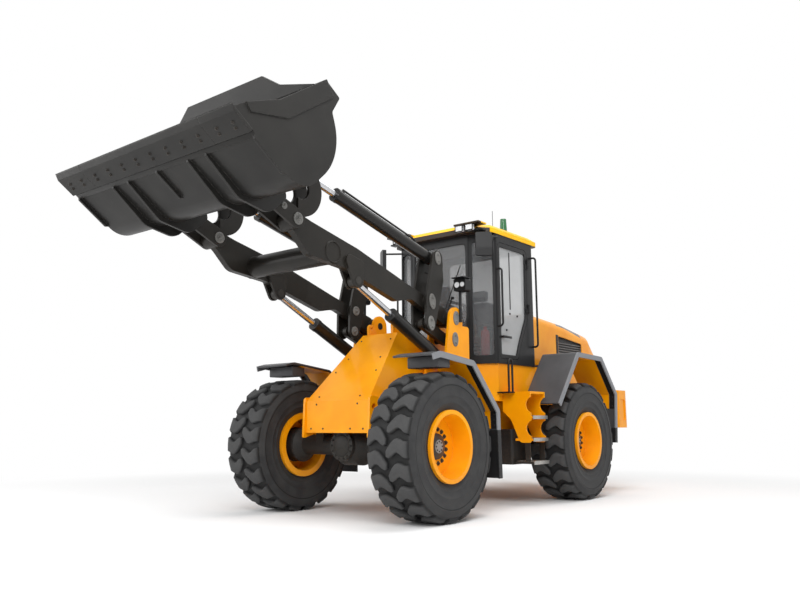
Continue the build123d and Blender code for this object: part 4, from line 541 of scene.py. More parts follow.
# Rear frame: welded plate, the engine tub and the cast counterweight, all in the body's yellow. Round
# tail lamps sit on the counterweight's rear face; the engine is a plain grey block under the hood.
WEIGHT_REAR_X = -3.5
TAIL_LAMP_Y = (0.720, 0.605)
TAIL_LAMP_Z = 1.27
TAIL_LAMP_R = 0.048
# columns: share of the lamp's radius, foot, height
TAIL_LAMP_PARTS = ((1.2, 0.0, 0.012), (1.0, 0.012, 0.012))


def moulded_lens(name, scale, bright, dim, rough, coat):
    """Lamp lens of clear or coloured plastic with moulded facets."""
    glass = material(name)
    facets = glass.node("TexVoronoi", {"Vector": glass.spot(), "Scale": scale})
    tone = mixed(glass, facets, bright, dim)
    return surface(glass, tone, rough, bump(glass, facets, 0.5, 0.002), coat=coat)


body_yellow = enamel("body_enamel", *YELLOWS, (170, 116, 40), 0.36, 0.15)
dress(body_yellow, "rear_chassis", "counterweight", "cab_platform", "front_chassis")
engine_grey = enamel(
    "engine_primer", (84, 84, 84), (64, 64, 64), (130, 128, 124), 0.5, 0.0, peel=0.003,
)
dress(engine_grey, "engine_block", "hinge_pins", "steer_rod_left", "steer_rod_right")
lens_red = moulded_lens("tail_lens", 120.0, (170, 22, 18), (120, 14, 12), 0.15, 0.7)
lamps = bmesh.new()
for hand in (1, -1):
    for y in TAIL_LAMP_Y:
        place = (WEIGHT_REAR_X + HINGE_X, hand * y, TAIL_LAMP_Z)
        for grow, low, tall in TAIL_LAMP_PARTS:
            disc(lamps, place, (-1, 0, 0), low, tall, TAIL_LAMP_R * grow, 0.86, 32)
settle("tail_lamps", lamps, "rear_frame", lens_red)


# Fenders: moulded mid-grey plastic slabs with a black flap at the lower end, and a painted highlight in
# pale grey along the outside edge. A steel liner in the body's yellow lies under each, a black rubber
# strip is bolted along its edge, and a grey box hangs under each front one.
# columns: x, z from the wheel's centre, just inside the sheet
REAR_ARCH = ((0.800, 0.453), (0.248, 1.105), (-0.448, 1.085), (-0.883, 0.616), (-0.864, 0.420))
FRONT_ARCH = ((0.060, 0.898), (-0.398, 0.850), (-0.864, 0.354), (-0.870, 0.170))
LINER_Y = (0.800, 1.190)
STRIP_Y = (1.200, 1.281)
STRIP_BOLT_Y = 1.24
STRIP_BOLTS = (0.18, 0.5, 0.82)
SHEET = 0.004
HIGHLIGHT_FROM_Y = 1.283
FLAP_TOP_Z = 0.90
BOX_HALF = Vector((0.10, 0.20, 0.0575))
FROM_HINGE = Vector((HINGE_X, 0, 0))


def plate(mesh, low, high, bevel=0.004):
    """Flat bar with softened edges between two corners, given from the steering hinge."""
    made = bmesh.ops.create_cube(mesh, size=1.0)
    low = Vector(low)
    high = Vector(high)
    bmesh.ops.scale(mesh, verts=made["verts"], vec=high - low)
    bmesh.ops.translate(mesh, verts=made["verts"], vec=(low + high) / 2 + FROM_HINGE)
    edges = list(dict.fromkeys(edge for corner in made["verts"] for edge in corner.link_edges))
    bmesh.ops.bevel(
        mesh, geom=edges, affect="EDGES", offset=bevel, segments=2, profile=0.5, material=-1,
    )


fender_skin = material("fender_plastic")
spot, soft, cloud, speck, edge = paint_parts(fender_skin, 0.008)
place = fender_skin.split(spot)
# Painted highlight: the fender's outer edge is coloured pale grey, where the light catches it.
edge_highlight = step(fender_skin, abs(place.out("Y")), HIGHLIGHT_FROM_Y, HIGHLIGHT_FROM_Y + MASK_EDGE)
flap = step(fender_skin, place.out("Z"), FLAP_TOP_Z, FLAP_TOP_Z + MASK_EDGE)
tone = mixed(fender_skin, step(fender_skin, cloud, 0.3, 0.7), (74, 74, 76), (62, 62, 64))
tone = mixed(fender_skin, edge_highlight, tone, (126, 128, 132))
tone = mixed(fender_skin, flap, (30, 30, 31), tone)
tone = mixed(fender_skin, edge * 0.4, tone, (150, 150, 150))
pebble = noise(fender_skin, spot, 420.0, 2.0) + noise(fender_skin, spot, 30.0, 2.0) * 0.5
skin = bump(fender_skin, pebble, 0.3, 0.0012, soft)
fender_grey = surface(fender_skin, tone, 0.5 + (cloud - 0.5) * 0.2, skin)
dress(fender_grey, "front_fenders", "rear_fenders")
satin_black = enamel("satin_black", (30, 30, 31), (22, 22, 23), (84, 82, 80), 0.42, 0.08, 0.004)
for name, x, arch in (("rear", -WHEEL_X, REAR_ARCH), ("front", WHEEL_X, FRONT_ARCH)):
    for label, (y_in, y_out), finish, slot in (
        ("liner", LINER_Y, body_yellow, "yellow_paint"),
        ("edge_strip", STRIP_Y, satin_black, "black_plastic"),
    ):
        sheet = bmesh.new()
        for hand in (1, -1):
            row = [sheet.verts.new((x + dx + HINGE_X, hand * y_in, TYRE_R + dz)) for dx, dz in arch]
            line = [sheet.edges.new(pair) for pair in zip(row, row[1:])]
            wide = fresh_corners(bmesh.ops.extrude_edge_only(sheet, edges=line))
            bmesh.ops.translate(sheet, verts=wide, vec=(0, hand * (y_out - y_in), 0))
        bmesh.ops.recalc_face_normals(sheet, faces=sheet.faces)
        bmesh.ops.solidify(sheet, geom=sheet.faces[:], thickness=SHEET)
        if label == "edge_strip":
            for hand in (1, -1):
                for start, end in zip(arch, arch[1:]):
                    gap = Vector((end[0] - start[0], 0, end[1] - start[1]))
                    inward = Vector((gap.z, 0, -gap.x)).normalized()
                    if inward.dot(Vector((start[0], 0, start[1]))) > 0:
                        inward = -inward
                    first = Vector((x + start[0] + HINGE_X, hand * STRIP_BOLT_Y, TYRE_R + start[1]))
                    places = [first + gap * share + inward * SHEET for share in STRIP_BOLTS]
                    bolts(sheet, places, inward, 0.006)
        settle(name + "_fender_" + label + "s", sheet, name + "_frame", finish)
boxes = bmesh.new()
for hand in (1, -1):
    middle = Vector((1.60, hand * 1.05, 1.585))
    plate(boxes, middle - BOX_HALF, middle + BOX_HALF, 0.012)
settle("front_fender_boxes", boxes, "front_frame", fender_grey)


# Cab: a welded frame in satin black, tinted glass bonded into it, and a yellow moulded roof with dark
# lamp hoods at the front. Rails, mirrors and the beacon's pole are black coated tube, and a red
# canister stands on the floor.
HOOD_FROM_X = 0.0605
BROW_TOP_Z = 3.392
BEACON_FROM_Z = 3.612
# columns: start, end, radius, sides
TRIM_RODS = (
    ((-0.9, 0.3, 3.446), (-0.9, 0.3, 3.476), 0.016, 20),  # antenna's foot
    ((-0.9, 0.3, 3.47), (-0.9, 0.3, 3.85), 0.0035, 12),  # antenna
    ((-0.052, -0.10, 1.86), (-0.048, 0.20, 2.55), 0.008, 12),  # wiper's arm
    ((-0.045, 0.02, 2.25), (-0.045, 0.34, 2.95), 0.007, 12),  # wiper's blade
    ((-0.075, -0.10, 1.86), (-0.040, -0.10, 1.86), 0.016, 20),  # arm's two joints
    ((-0.075, 0.20, 2.55), (-0.040, 0.20, 2.55), 0.016, 20),
)
SHELF_X = (-0.050, 0.050)
SHELF_Y = ((0.36, 0.73), (-0.73, -0.36))
SHELF_Z = (3.34, 3.36)
ROOF_LAMP_Y = (0.43, 0.58, -0.43, -0.58)
ROOF_LAMP_Z = (3.345, 3.420)
BEZEL_X = (0.108, 0.116)
BEZEL_REACH = 0.056
BEZEL_SIDE = 0.053
BEZEL_BAR = 0.006
# columns: x, z
DOOR_STUDS = ((-0.36, 2.36), (-0.54, 2.345), (-0.72, 2.33), (-0.45, 2.13))
DOOR_FACE_Y = 0.744
# columns: low corner, high corner, bevel
DOOR_BAR = ((-0.560, DOOR_FACE_Y, 2.40), (-0.546, 0.752, 3.14), 0.002)
DOOR_HANDLE = (
    ((-0.36, 0.752, 2.02), (-0.30, 0.790, 2.05), 0.008),
    ((-0.50, 0.780, 2.02), (-0.30, 0.795, 2.05), 0.006),
)
BOTTLE_AT = Vector((-0.290, 0.530, 1.750))
# columns: radius, height above the cab's floor
BOTTLE = (
    (0.0, 0.001), (0.050, 0.001), (0.056, 0.010), (0.056, 0.340), (0.046, 0.375), (0.022, 0.392),
    (0.020, 0.425), (0.0, 0.428),
)
MIRROR_AT = (0.12, 0.80, 3.13)
MIRROR_TURN = math.radians(40)
MIRROR_BACK = -0.0262
MIRROR_TALL = 0.25
MIRROR_WIDE = 0.16


def glazing(name, colour, cover):
    """Safety glass with faint smears; its colour is a tint, on the door pane mostly a painted
    reflection.
    """
    pane = material(name)
    smear = noise(pane, pane.spot(), 3.0, 4.0)
    shader = pane.node("BsdfPrincipled", {
        "Base Color": srgb(*colour), "Roughness": 0.02 + smear * 0.05,
        "Alpha": cover + (smear - 0.5) * 0.12,
    })
    pane.node("OutputMaterial", {"Surface": shader})
    return pane.owner


def rod(mesh, start, end, radius, sides=12):
    """Round bar between two points, given from the steering hinge."""
    run = Vector(end) - Vector(start)
    disc(mesh, Vector(start) + FROM_HINGE, run, 0.0, run.length, radius, 1.0, sides)


dress(
    satin_black, "cab_shell", "door_frame", "hand_rails", "mirrors", "headlamps", "side_boxes",
    "steering_console",
)
dress(glazing("tinted_glass", (112, 114, 116), 0.40), "cab_glass")
# Painted reflection: the door pane's pale grey stands in for the white room reflected in it.
dress(glazing("door_pane", (205, 207, 208), 0.42), "door_glass")

roof_paint = material("roof_enamel")
parts = paint_parts(roof_paint, 0.02)
place = roof_paint.split(parts[0])
facing = roof_paint.split(roof_paint.node("NewGeometry").out("Normal"))
hood_x = HINGE_X + HOOD_FROM_X
hoods = step(roof_paint, place.out("X"), hood_x, hood_x + 0.0015)
brow = step(roof_paint, facing.out("X"), 0.55, 0.75) * (place.out("Z") < BROW_TOP_Z)
# Painted shade: the roof's faces that look downwards are coloured dark, as if in shadow; the lamp hoods
# and brow are dark for real.
under = step(roof_paint, 0.0 - facing.out("Z"), 0.4, 0.6)
dark_hoods_and_shade = roof_paint.either(hoods, brow + under)
roof_yellow = two_tone(
    roof_paint, parts, dark_hoods_and_shade, ((255, 196, 12), (250, 182, 8)), ((52, 42, 36), (44, 36, 32)),
    (200, 156, 50), 0.45, 0.05,
)
dress(roof_yellow, "cab_roof")
lens_white = moulded_lens("lamp_lens", 90.0, (236, 236, 236), (190, 192, 196), 0.12, 0.8)
dress(lens_white, "roof_lamps")

beacon_glass = material("beacon_lens")
place = beacon_glass.split(beacon_glass.spot())
ribs = beacon_glass.sine(place.out("Z") * 420.0)
pole = step(beacon_glass, place.out("Z"), BEACON_FROM_Z, BEACON_FROM_Z + MASK_EDGE)
green = mixed(beacon_glass, ribs, (30, 110, 62), (22, 84, 48))
tone = mixed(beacon_glass, pole, (34, 34, 34), green)
beacon_green = surface(beacon_glass, tone, 0.2, bump(beacon_glass, ribs, 0.4, 0.002), coat=0.5)
dress(beacon_green, "beacon")

trim = bmesh.new()
for row in TRIM_RODS:
    rod(trim, *row)
for y_low, y_high in SHELF_Y:
    plate(trim, (SHELF_X[0], y_low, SHELF_Z[0]), (SHELF_X[1], y_high, SHELF_Z[1]))
settle("cab_trim", trim, "rear_frame", satin_black)
bezels = bmesh.new()
for y in ROOF_LAMP_Y:
    bars = [(y - BEZEL_REACH, y + BEZEL_REACH, z - BEZEL_BAR, z + BEZEL_BAR) for z in ROOF_LAMP_Z]
    for side in (y - BEZEL_SIDE, y + BEZEL_SIDE):
        bars.append((side - BEZEL_BAR, side + BEZEL_BAR, *ROOF_LAMP_Z))
    for y_low, y_high, z_low, z_high in bars:
        plate(bezels, (BEZEL_X[0], y_low, z_low), (BEZEL_X[1], y_high, z_high), 0.002)
settle("roof_lamp_bezels", bezels, "rear_frame", satin_black)
fittings = bmesh.new()
plate(fittings, *DOOR_BAR)
for x, z in DOOR_STUDS:
    rod(fittings, (x, DOOR_FACE_Y, z), (x, DOOR_FACE_Y + 0.010, z), 0.013, 16)
for row in DOOR_HANDLE:
    plate(fittings, *row)
settle("door_fittings", fittings, "door", satin_black)

canister_red = enamel("canister_red", (196, 30, 28), (170, 22, 22), (120, 60, 56), 0.25, 0.4, 0.003)
bottle = bmesh.new()
foot = BOTTLE_AT + FROM_HINGE
spun(bottle, [foot + Vector((r, 0, tall)) for r, tall in BOTTLE], foot, (0, 0, 1), 32)
bmesh.ops.remove_doubles(bottle, verts=bottle.verts, dist=0.0005)
bmesh.ops.recalc_face_normals(bottle, faces=bottle.faces)
settle("cab_canister", bottle, "rear_frame", canister_red)

mirror_face = material("mirror_silver")
haze = noise(mirror_face, mirror_face.spot(), 20.0)
tone = mixed(mirror_face, haze, (200, 204, 208), (184, 188, 192))
skin = bump(mirror_face, haze, 0.05, 0.0005)
silvered = surface(mirror_face, tone, 0.04 + haze * 0.06, skin, metal=1.0)
glasses = bmesh.new()
upright = Matrix.Translation((MIRROR_BACK, 0, 0)) @ Matrix.Rotation(math.radians(-90), 4, "Y")
for hand in (1, -1):
    x, y, z = MIRROR_AT
    turn = Matrix.Rotation(MIRROR_TURN * hand, 4, "Z")
    made = bmesh.ops.create_grid(glasses, x_segments=6, y_segments=8, size=0.5)
    shape = turn @ upright @ Matrix.Diagonal((MIRROR_TALL, MIRROR_WIDE, 1, 1))
    shape = Matrix.Translation((x + HINGE_X, hand * y, z)) @ shape
    bmesh.ops.transform(glasses, matrix=shape, verts=made["verts"])
bmesh.ops.solidify(glasses, geom=glasses.faces[:], thickness=0.002)
settle("mirror_glasses", glasses, "rear_frame", silvered)


# Driver's seat: foam cushions in grey woven cloth, sewn in channels, on a plain steel pedestal with
# two arm rests. The cushions swell between their seams, and the head rest stands on two short stems.
SEAM_HALF = 0.035
SEAM_DEEP = 0.012
# columns: name, low corner, high corner, lean back in degrees, channels along Y
CUSHIONS = (
    ("seat_base", (-0.900, -0.250, 1.955), (-0.425, 0.250, 2.085), 4.0, (-0.09, 0.09)),
    ("seat_back", (-0.995, -0.240, 2.085), (-0.875, 0.240, 2.600), -5.0, (-0.09, 0.09)),
    ("head_rest", (-1.010, -0.140, 2.625), (-0.920, 0.140, 2.765), -5.0, ()),
)
# columns: low corner, high corner, bevel
PEDESTAL = (
    ((-0.84, -0.15, 1.7505), (-0.54, 0.15, 1.79), 0.01),
    ((-0.80, -0.11, 1.79), (-0.58, 0.11, 1.92), 0.02),
    ((-0.88, -0.20, 1.92), (-0.48, 0.20, 1.96), 0.01),
)
STEM_Y = 0.07
REST_Y = 0.30
cloth = material("seat_cloth")
spot = cloth.spot()
threads = {"Vector": spot, "Scale": 160.0, "Distortion": 1.5}
weave = cloth.node("TexWave", threads, bands_direction="DIAGONAL")
wear = noise(cloth, spot, 9.0, 4.0)
tone = mixed(cloth, weave, (70, 70, 74), (50, 50, 54))
tone = mixed(cloth, step(cloth, wear, 0.5, 0.75) * 0.4, tone, (96, 94, 92))
skin = bump(cloth, weave, 0.5, 0.001)
seat_cloth = surface(cloth, tone, 0.82 + (wear - 0.5) * 0.2, skin)
for name, low, high, lean, channels in CUSHIONS:
    pad = bmesh.new()
    bmesh.ops.create_cube(pad, size=1.0)
    bmesh.ops.subdivide_edges(pad, edges=pad.edges[:], cuts=7, use_grid_fill=True)
    for turn in range(3):
        bmesh.ops.smooth_vert(
            pad, verts=pad.verts[:], factor=0.5, use_axis_x=True, use_axis_y=True, use_axis_z=True,
        )
    size = Vector(high) - Vector(low)
    lies = size.z < size.x
    reach = max(abs(corner.co.x) for corner in pad.verts) * 2
    bmesh.ops.scale(pad, verts=pad.verts[:], vec=size / reach)
    for corner in pad.verts:
        for channel in channels:
            pinch = SEAM_DEEP * max(0.0, 1.0 - abs(corner.co.y - channel) / SEAM_HALF)
            if lies:
                corner.co.z -= math.copysign(pinch, corner.co.z)
            else:
                corner.co.x -= math.copysign(pinch, corner.co.x)
    tip = Matrix.Rotation(math.radians(-lean if lies else lean), 3, "Y")
    bmesh.ops.rotate(pad, verts=pad.verts[:], cent=(0, 0, 0), matrix=tip)
    middle = (Vector(low) + Vector(high)) / 2 + FROM_HINGE
    bmesh.ops.translate(pad, verts=pad.verts[:], vec=middle)
    piece = settle(name, pad, "rear_frame", seat_cloth, 180.0)
    swell = piece.modifiers.new("swell", "SUBSURF")
    swell.levels = 1
    swell.render_levels = 1
    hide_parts("seat")
stand = bmesh.new()
for row in PEDESTAL:
    plate(stand, *row)
for y in (-STEM_Y, STEM_Y):
    rod(stand, (-0.935, y, 2.56), (-0.955, y, 2.66), 0.007)
for y in (-REST_Y, REST_Y):
    plate(stand, (-0.86, y - 0.035, 2.22), (-0.56, y + 0.035, 2.26), 0.012)
    plate(stand, (-0.90, y - 0.02, 2.00), (-0.86, y + 0.02, 2.25), 0.008)
    plate(stand, (-0.90, min(y, y * 0.6), 2.00), (-0.87, max(y, y * 0.6), 2.03), 0.006)
piece = settle("seat_stand", stand, "rear_frame", satin_black)
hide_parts("seat")


# Hood: moulded shell in the body's yellow. Grey slats fill the openings at its sides and rear, with
# woven wire mesh behind them; a black strip closes each side opening's front end, another runs under it.
SIDE_SLATS_X = (-2.84, -2.075)
SIDE_SLATS_Y = (0.55, 0.5945)
SIDE_SLATS_LOW = 1.858
REAR_SLATS_X = (-3.4025, -3.36)
REAR_SLATS_Y = 0.432
REAR_SLATS_HIGH = 1.965
SIDE_MESH_Y = (0.558, 0.566)
SIDE_STRIP_Y = (0.612, 0.619)
hood_paint = material("hood_enamel")
parts = paint_parts(hood_paint, 0.012)
place = hood_paint.split(parts[0])
raw_x = place.out("X") - HINGE_X
side_y = abs(place.out("Y"))
side_slats = (side_y < SIDE_SLATS_Y[1]) * (side_y > SIDE_SLATS_Y[0])
side_slats = side_slats * (raw_x < SIDE_SLATS_X[1]) * (raw_x > SIDE_SLATS_X[0])
rear_slats = (raw_x > REAR_SLATS_X[0]) * (raw_x < REAR_SLATS_X[1]) * (side_y < REAR_SLATS_Y)
grey = hood_paint.either(
    side_slats * (place.out("Z") > SIDE_SLATS_LOW), rear_slats * (place.out("Z") < REAR_SLATS_HIGH),
)
slat_greys = ((104, 104, 104), (84, 84, 84))
hood_yellow = two_tone(
    hood_paint, parts, grey, YELLOWS, slat_greys, (180, 122, 40), 0.34, 0.2,
)
dress(hood_yellow, "hood")
wire = material("wire_mesh")
cells = {"Vector": wire.spot(), "Scale": 70.0, "Randomness": 0.0}
# Painted shade: the holes between the wires are coloured near black, for the dark inside of the hood
# behind them.
holes = wire.node("TexVoronoi", cells, feature="DISTANCE_TO_EDGE")
lattice = 1.0 - step(wire, holes, 0.05, 0.16)
tone = mixed(wire, lattice, (20, 20, 20), (96, 96, 96))
wire_grey = surface(wire, tone, 0.5, bump(wire, lattice, 0.8, 0.003))
mesh_panels = bmesh.new()
strips = bmesh.new()
for hand in (1, -1):
    y_low, y_high = sorted(hand * y for y in SIDE_MESH_Y)
    plate(mesh_panels, (-2.88, y_low, 1.82), (-2.06, y_high, 2.24), 0.002)
    y_low, y_high = sorted(hand * y for y in SIDE_STRIP_Y)
    plate(strips, (-2.070, y_low, 1.86), (-2.005, y_high, 2.215), 0.002)
    plate(strips, (-2.84, y_low - 0.004 * (hand < 0), 1.846), (-2.07, y_high, 1.858), 0.002)
plate(mesh_panels, (-3.375, -0.46, 1.50), (-3.367, 0.46, 1.985), 0.002)
settle("grille_mesh", mesh_panels, "hood_lid", wire_grey)
plate(strips, (-3.412, -0.10, 2.005), (-3.395, 0.10, 2.03), 0.006)
settle("hood_strips", strips, "hood_lid", satin_black)


# Steps: yellow stringers welded from plate, with pressed bright treads riveted on and a lowest tread
# that hangs on dark rubber straps.
STRAP_TOP_Z = 0.738
TREAD_X = -0.5
TREAD_Y = 1.031
TREAD_Z = (0.520, 0.790, 1.055)
TREAD_HALF = (0.174, 0.117)
NOSE_Y = (1.146, 1.158)
NOSE_HALF = 0.177
step_paint = material("step_enamel")
parts = paint_parts(step_paint)
place = step_paint.split(parts[0])
strap = 1.0 - step(step_paint, place.out("Z"), STRAP_TOP_Z, STRAP_TOP_Z + 0.003)
strap_blacks = ((40, 39, 38), (30, 30, 30))
step_yellow = two_tone(
    step_paint, parts, strap, YELLOWS, strap_blacks, (170, 116, 40), 0.38, 0.12,
)
dress(step_yellow, "access_steps")
tread_steel = material("tread_steel")
scratch = noise(tread_steel, tread_steel.spot(), 60.0, 5.0)
tone = mixed(tread_steel, scratch, (196, 194, 190), (140, 138, 134))
skin = bump(tread_steel, scratch, 0.3, 0.001)
tread_bright = surface(tread_steel, tone, 0.3 + scratch * 0.2, skin, metal=0.85)
treads = bmesh.new()
for hand in (1, -1):
    middle = hand * TREAD_Y
    y_low, y_high = sorted(hand * y for y in NOSE_Y)
    for z in TREAD_Z:
        top = bmesh.new()
        bmesh.ops.create_grid(top, x_segments=9, y_segments=4, size=0.5)
        bmesh.ops.inset_individual(
            top, faces=top.faces[:], thickness=0.018, depth=-0.010, use_even_offset=True,
        )
        bmesh.ops.scale(top, verts=top.verts[:], vec=(0.344, 0.236, 0.5))
        bmesh.ops.translate(top, verts=top.verts[:], vec=(TREAD_X + HINGE_X, middle, z + 0.006))
        absorb(treads, top)
        plate(
            treads, (TREAD_X - NOSE_HALF, y_low, z - 0.036), (TREAD_X + NOSE_HALF, y_high, z + 0.007),
            0.003,
        )
        plate(
            treads, (TREAD_X - TREAD_HALF[0], middle - TREAD_HALF[1], z + 0.0003),
            (TREAD_X + TREAD_HALF[0], middle + TREAD_HALF[1], z + 0.003), 0.001,
        )
settle("step_treads", treads, "rear_frame", tread_bright)


# Front frame: thick plate welded into a box that rises to the tower, in the body's yellow. Small bolts
# close its front plate, bolted covers hold the linkage's pins, and two round headlamps under a small
# visor stand beside each tower.
SLOPE = Vector((0.735, 0, 0.678))
# columns: share of the way up the sloping plate, y
SLOPE_BOLTS = ((0.06, 0.30), (0.42, 0.30), (0.62, 0.24), (0.90, 0.22))
NOSE_X = 1.85
# columns: y, z
NOSE_BOLTS = ((0.20, 0.925), (0.38, 0.925), (0.30, 1.185))
# columns: rise, growth of each layer of a cover, its thickness and its size being 1
COVER_LAYERS = ((0.70, 1.0), (0.30, 0.86), (0.0, 0.80), (-0.25, 0.92))
COVER_THICK = 0.012
TOWER_FACE = 0.723
LEVER_FACE = (0.685, 0.465)
# columns: body, x, z, distance of the face from the middle, outwards or inwards, half-length,
# half-width, lean, bolt
COVERS = (
    ("front_frame", 0.626, 2.173, TOWER_FACE, 1, 0.082, 0.056, 90, 0.010),
    ("front_frame", 0.650, 1.925, TOWER_FACE, 1, 0.082, 0.056, 90, 0.010),
    ("front_frame", 0.620, 1.640, TOWER_FACE, 1, 0.082, 0.056, 90, 0.010),
    ("tilt_lever_pair", 1.030, 2.325, LEVER_FACE[0], 1, 0.088, 0.056, 80, 0.011),
    ("tilt_lever_pair", 1.054, 2.077, LEVER_FACE[0], 1, 0.082, 0.056, 80, 0.011),
    ("tilt_lever_pair", 0.915, 2.838, LEVER_FACE[0], 1, 0.076, 0.050, 80, 0.010),
    ("tilt_lever_pair", 1.030, 2.325, LEVER_FACE[1], -1, 0.056, 0.056, 90, 0.014),
    ("tilt_lever_pair", 1.054, 2.077, LEVER_FACE[1], -1, 0.056, 0.056, 90, 0.014),
    ("tilt_lever_pair", 0.915, 2.838, LEVER_FACE[1], -1, 0.056, 0.056, 90, 0.014),
    ("bucket", 3.100, 2.854, LEVER_FACE[0], 1, 0.058, 0.058, 90, 0.018),
    ("bucket", 3.275, 2.940, LEVER_FACE[0], 1, 0.032, 0.032, 90, 0.012),
    ("bucket", 3.100, 2.854, LEVER_FACE[1], -1, 0.058, 0.058, 90, 0.018),
)
HEADLAMP_X = 0.620
HEADLAMP_Z = 2.560
# columns: y, radius
HEADLAMPS = ((0.742, 0.036), (0.816, 0.030))
VISOR_Y = (0.690, 0.862)


def cover(mesh, x, z, y, out, long, wide, lean, bolt):
    """Dished cover over a pin's end, with two bolts if it is oval and one if it is round."""
    along = Vector((math.cos(math.radians(lean)), 0, math.sin(math.radians(lean))))
    face = Vector((0, out, 0))
    turn = Matrix((along, face.cross(along), face)).transposed().to_4x4()
    seat = Matrix.Translation((x + HINGE_X, y, z)) @ turn
    made = bmesh.ops.create_circle(mesh, cap_ends=True, segments=28, radius=1.0)
    verts = list(made["verts"])
    layer = verts[0].link_faces[0]
    for rise, growth in COVER_LAYERS:
        under = layer
        grown = bmesh.ops.extrude_face_region(mesh, geom=[layer])
        bmesh.ops.delete(mesh, geom=[under], context="FACES_ONLY")
        fresh = fresh_corners(grown)
        layer = [part for part in grown["geom"] if isinstance(part, bmesh.types.BMFace)][0]
        bmesh.ops.translate(mesh, verts=fresh, vec=(0, 0, rise))
        bmesh.ops.scale(mesh, verts=fresh, vec=(growth, growth, 1.0))
        verts += fresh
    shape = seat @ Matrix.Diagonal((long, wide, COVER_THICK, 1))
    bmesh.ops.transform(mesh, matrix=shape, verts=verts)
    ends = (-0.5, 0.5) if long > wide else (0,)
    bolts(mesh, [seat @ Vector((end * long, 0, 0.008)) for end in ends], face, bolt)


cover_grey = enamel(
    "cover_steel", (126, 125, 122), (104, 103, 100), (180, 178, 172), 0.4, 0.1, 0.003,
)
front_bolts = bmesh.new()
spots = [
    Vector((NOSE_X - 0.72 * share + HINGE_X, hand * y, 1.22 + 0.78 * share))
    for share, y in SLOPE_BOLTS for hand in (1, -1)
]
bolts(front_bolts, spots, SLOPE, 0.006)
spots = [(NOSE_X + HINGE_X, hand * y, z) for y, z in NOSE_BOLTS for hand in (1, -1)]
bolts(front_bolts, spots, (1, 0, 0), 0.006)
settle("front_plate_bolts", front_bolts, "front_frame", bolt_dark)
for body in ("front_frame", "tilt_lever_pair", "bucket"):
    covers = bmesh.new()
    for row_body, x, z, y, out, long, wide, lean, bolt in COVERS:
        if row_body == body:
            for hand in (1, -1):
                cover(covers, x, z, hand * y, hand * out, long, wide, lean, bolt)
    settle("pin_covers_" + body, covers, body, cover_grey)
lamp_faces = bmesh.new()
lamp_bezels = bmesh.new()
for hand in (1, -1):
    for y, radius in HEADLAMPS:
        place = (HEADLAMP_X + HINGE_X, hand * y, HEADLAMP_Z)
        disc(lamp_faces, place, (1, 0, 0), 0.0, 0.008, radius, 0.9, 32)
        disc(lamp_bezels, place, (1, 0, 0), -0.002, 0.006, radius * 1.18, 0.9, 32)
    y_low, y_high = sorted(hand * y for y in VISOR_Y)
    plate(lamp_bezels, (0.52, y_low, 2.636), (0.665, y_high, 2.648), 0.004)
settle("headlamp_lenses", lamp_faces, "front_frame", lens_white)
settle("headlamp_bezels", lamp_bezels, "front_frame", satin_black)


# Lift linkage: heavy welded plate in a warm dark grey, turning on steel pins. The rams have black
# barrels and hard-chromed rods with forged eyes, and short rubber hoses loop behind the levers' tops.
LIFT_EYE = (2.215, 2.400)
FORGED_R = 0.082
TUBE_X = 2.555
TUBE_Z = 2.640
TUBE_R = 0.108
# columns: y of the arm's face, line of the bead on it: along the tube, out from it
BEADS = (
    (0.615, ((-0.004, -0.016), (0.010, -0.008), (0.010, 0.0), (-0.004, 0.010))),
    (0.535, ((-0.004, -0.016), (-0.014, -0.008), (-0.014, 0.0), (-0.004, 0.010))),
)
# columns: x, z, share of the way from the barrel's eye to the gap beside the arm; the last point is in
# the lever's plate
HOSE_LINE = (
    (0.888, 2.903, 0.0), (0.827, 2.905, 0.3), (0.765, 2.843, 1.0), (0.765, 2.757, 1.0),
    (0.827, 2.695, 1.0), (0.888, 2.697, 1.4),
)
# columns: y at the barrel's eye, y in the gap
HOSE_Y = ((0.560, 0.515), (0.590, 0.635))
HOSE_D = 0.020
arm_dark = enamel("arm_enamel", (38, 35, 31), (30, 28, 25), (92, 86, 78), 0.42, 0.08, 0.008)
dress(
    arm_dark, "arm_left", "arm_right", "arm_cross_tube", "tilt_levers", "level_links", "hitch_hooks",
    "lever_pins", "tilt_base_pins", "tower_pins", "bucket_pins",
)
barrel_black = enamel("barrel_black", (30, 28, 26), (23, 22, 21), (90, 86, 82), 0.3, 0.2, 0.004)
dress(barrel_black, "lift_barrels", "tilt_barrels", "steer_barrel_left", "steer_barrel_right")
chrome = material("hard_chrome")
spot = chrome.spot()
streak = noise(chrome, spot, 30.0, 4.0)
place = chrome.split(spot)
from_eye = chrome.length(
    place.out("X") - (LIFT_EYE[0] + HINGE_X), place.out("Z") - LIFT_EYE[1],
)
forged = 1.0 - step(chrome, from_eye, FORGED_R, FORGED_R + 0.003)
tone = mixed(chrome, streak, (214, 214, 216), (182, 184, 188))
tone = mixed(chrome, forged, tone, (44, 41, 37))
skin = bump(chrome, streak, 0.1, 0.0005)
bright_rod = surface(chrome, tone, 0.14 + streak * 0.12 + forged * 0.25, skin, 1.0 - forged)
dress(bright_rod, "lift_rods", "tilt_rods")
welds = bmesh.new()
for hand in (1, -1):
    for y, bead in BEADS:
        line = [(TUBE_X + HINGE_X, hand * (y + dy), TUBE_Z + TUBE_R + dr) for dy, dr in bead]
        spun(welds, line, (TUBE_X + HINGE_X, hand * y, TUBE_Z), (0, 1, 0), 48)
bmesh.ops.recalc_face_normals(welds, faces=welds.faces)
settle("arm_weld_beads", welds, "lift_arms", arm_dark)

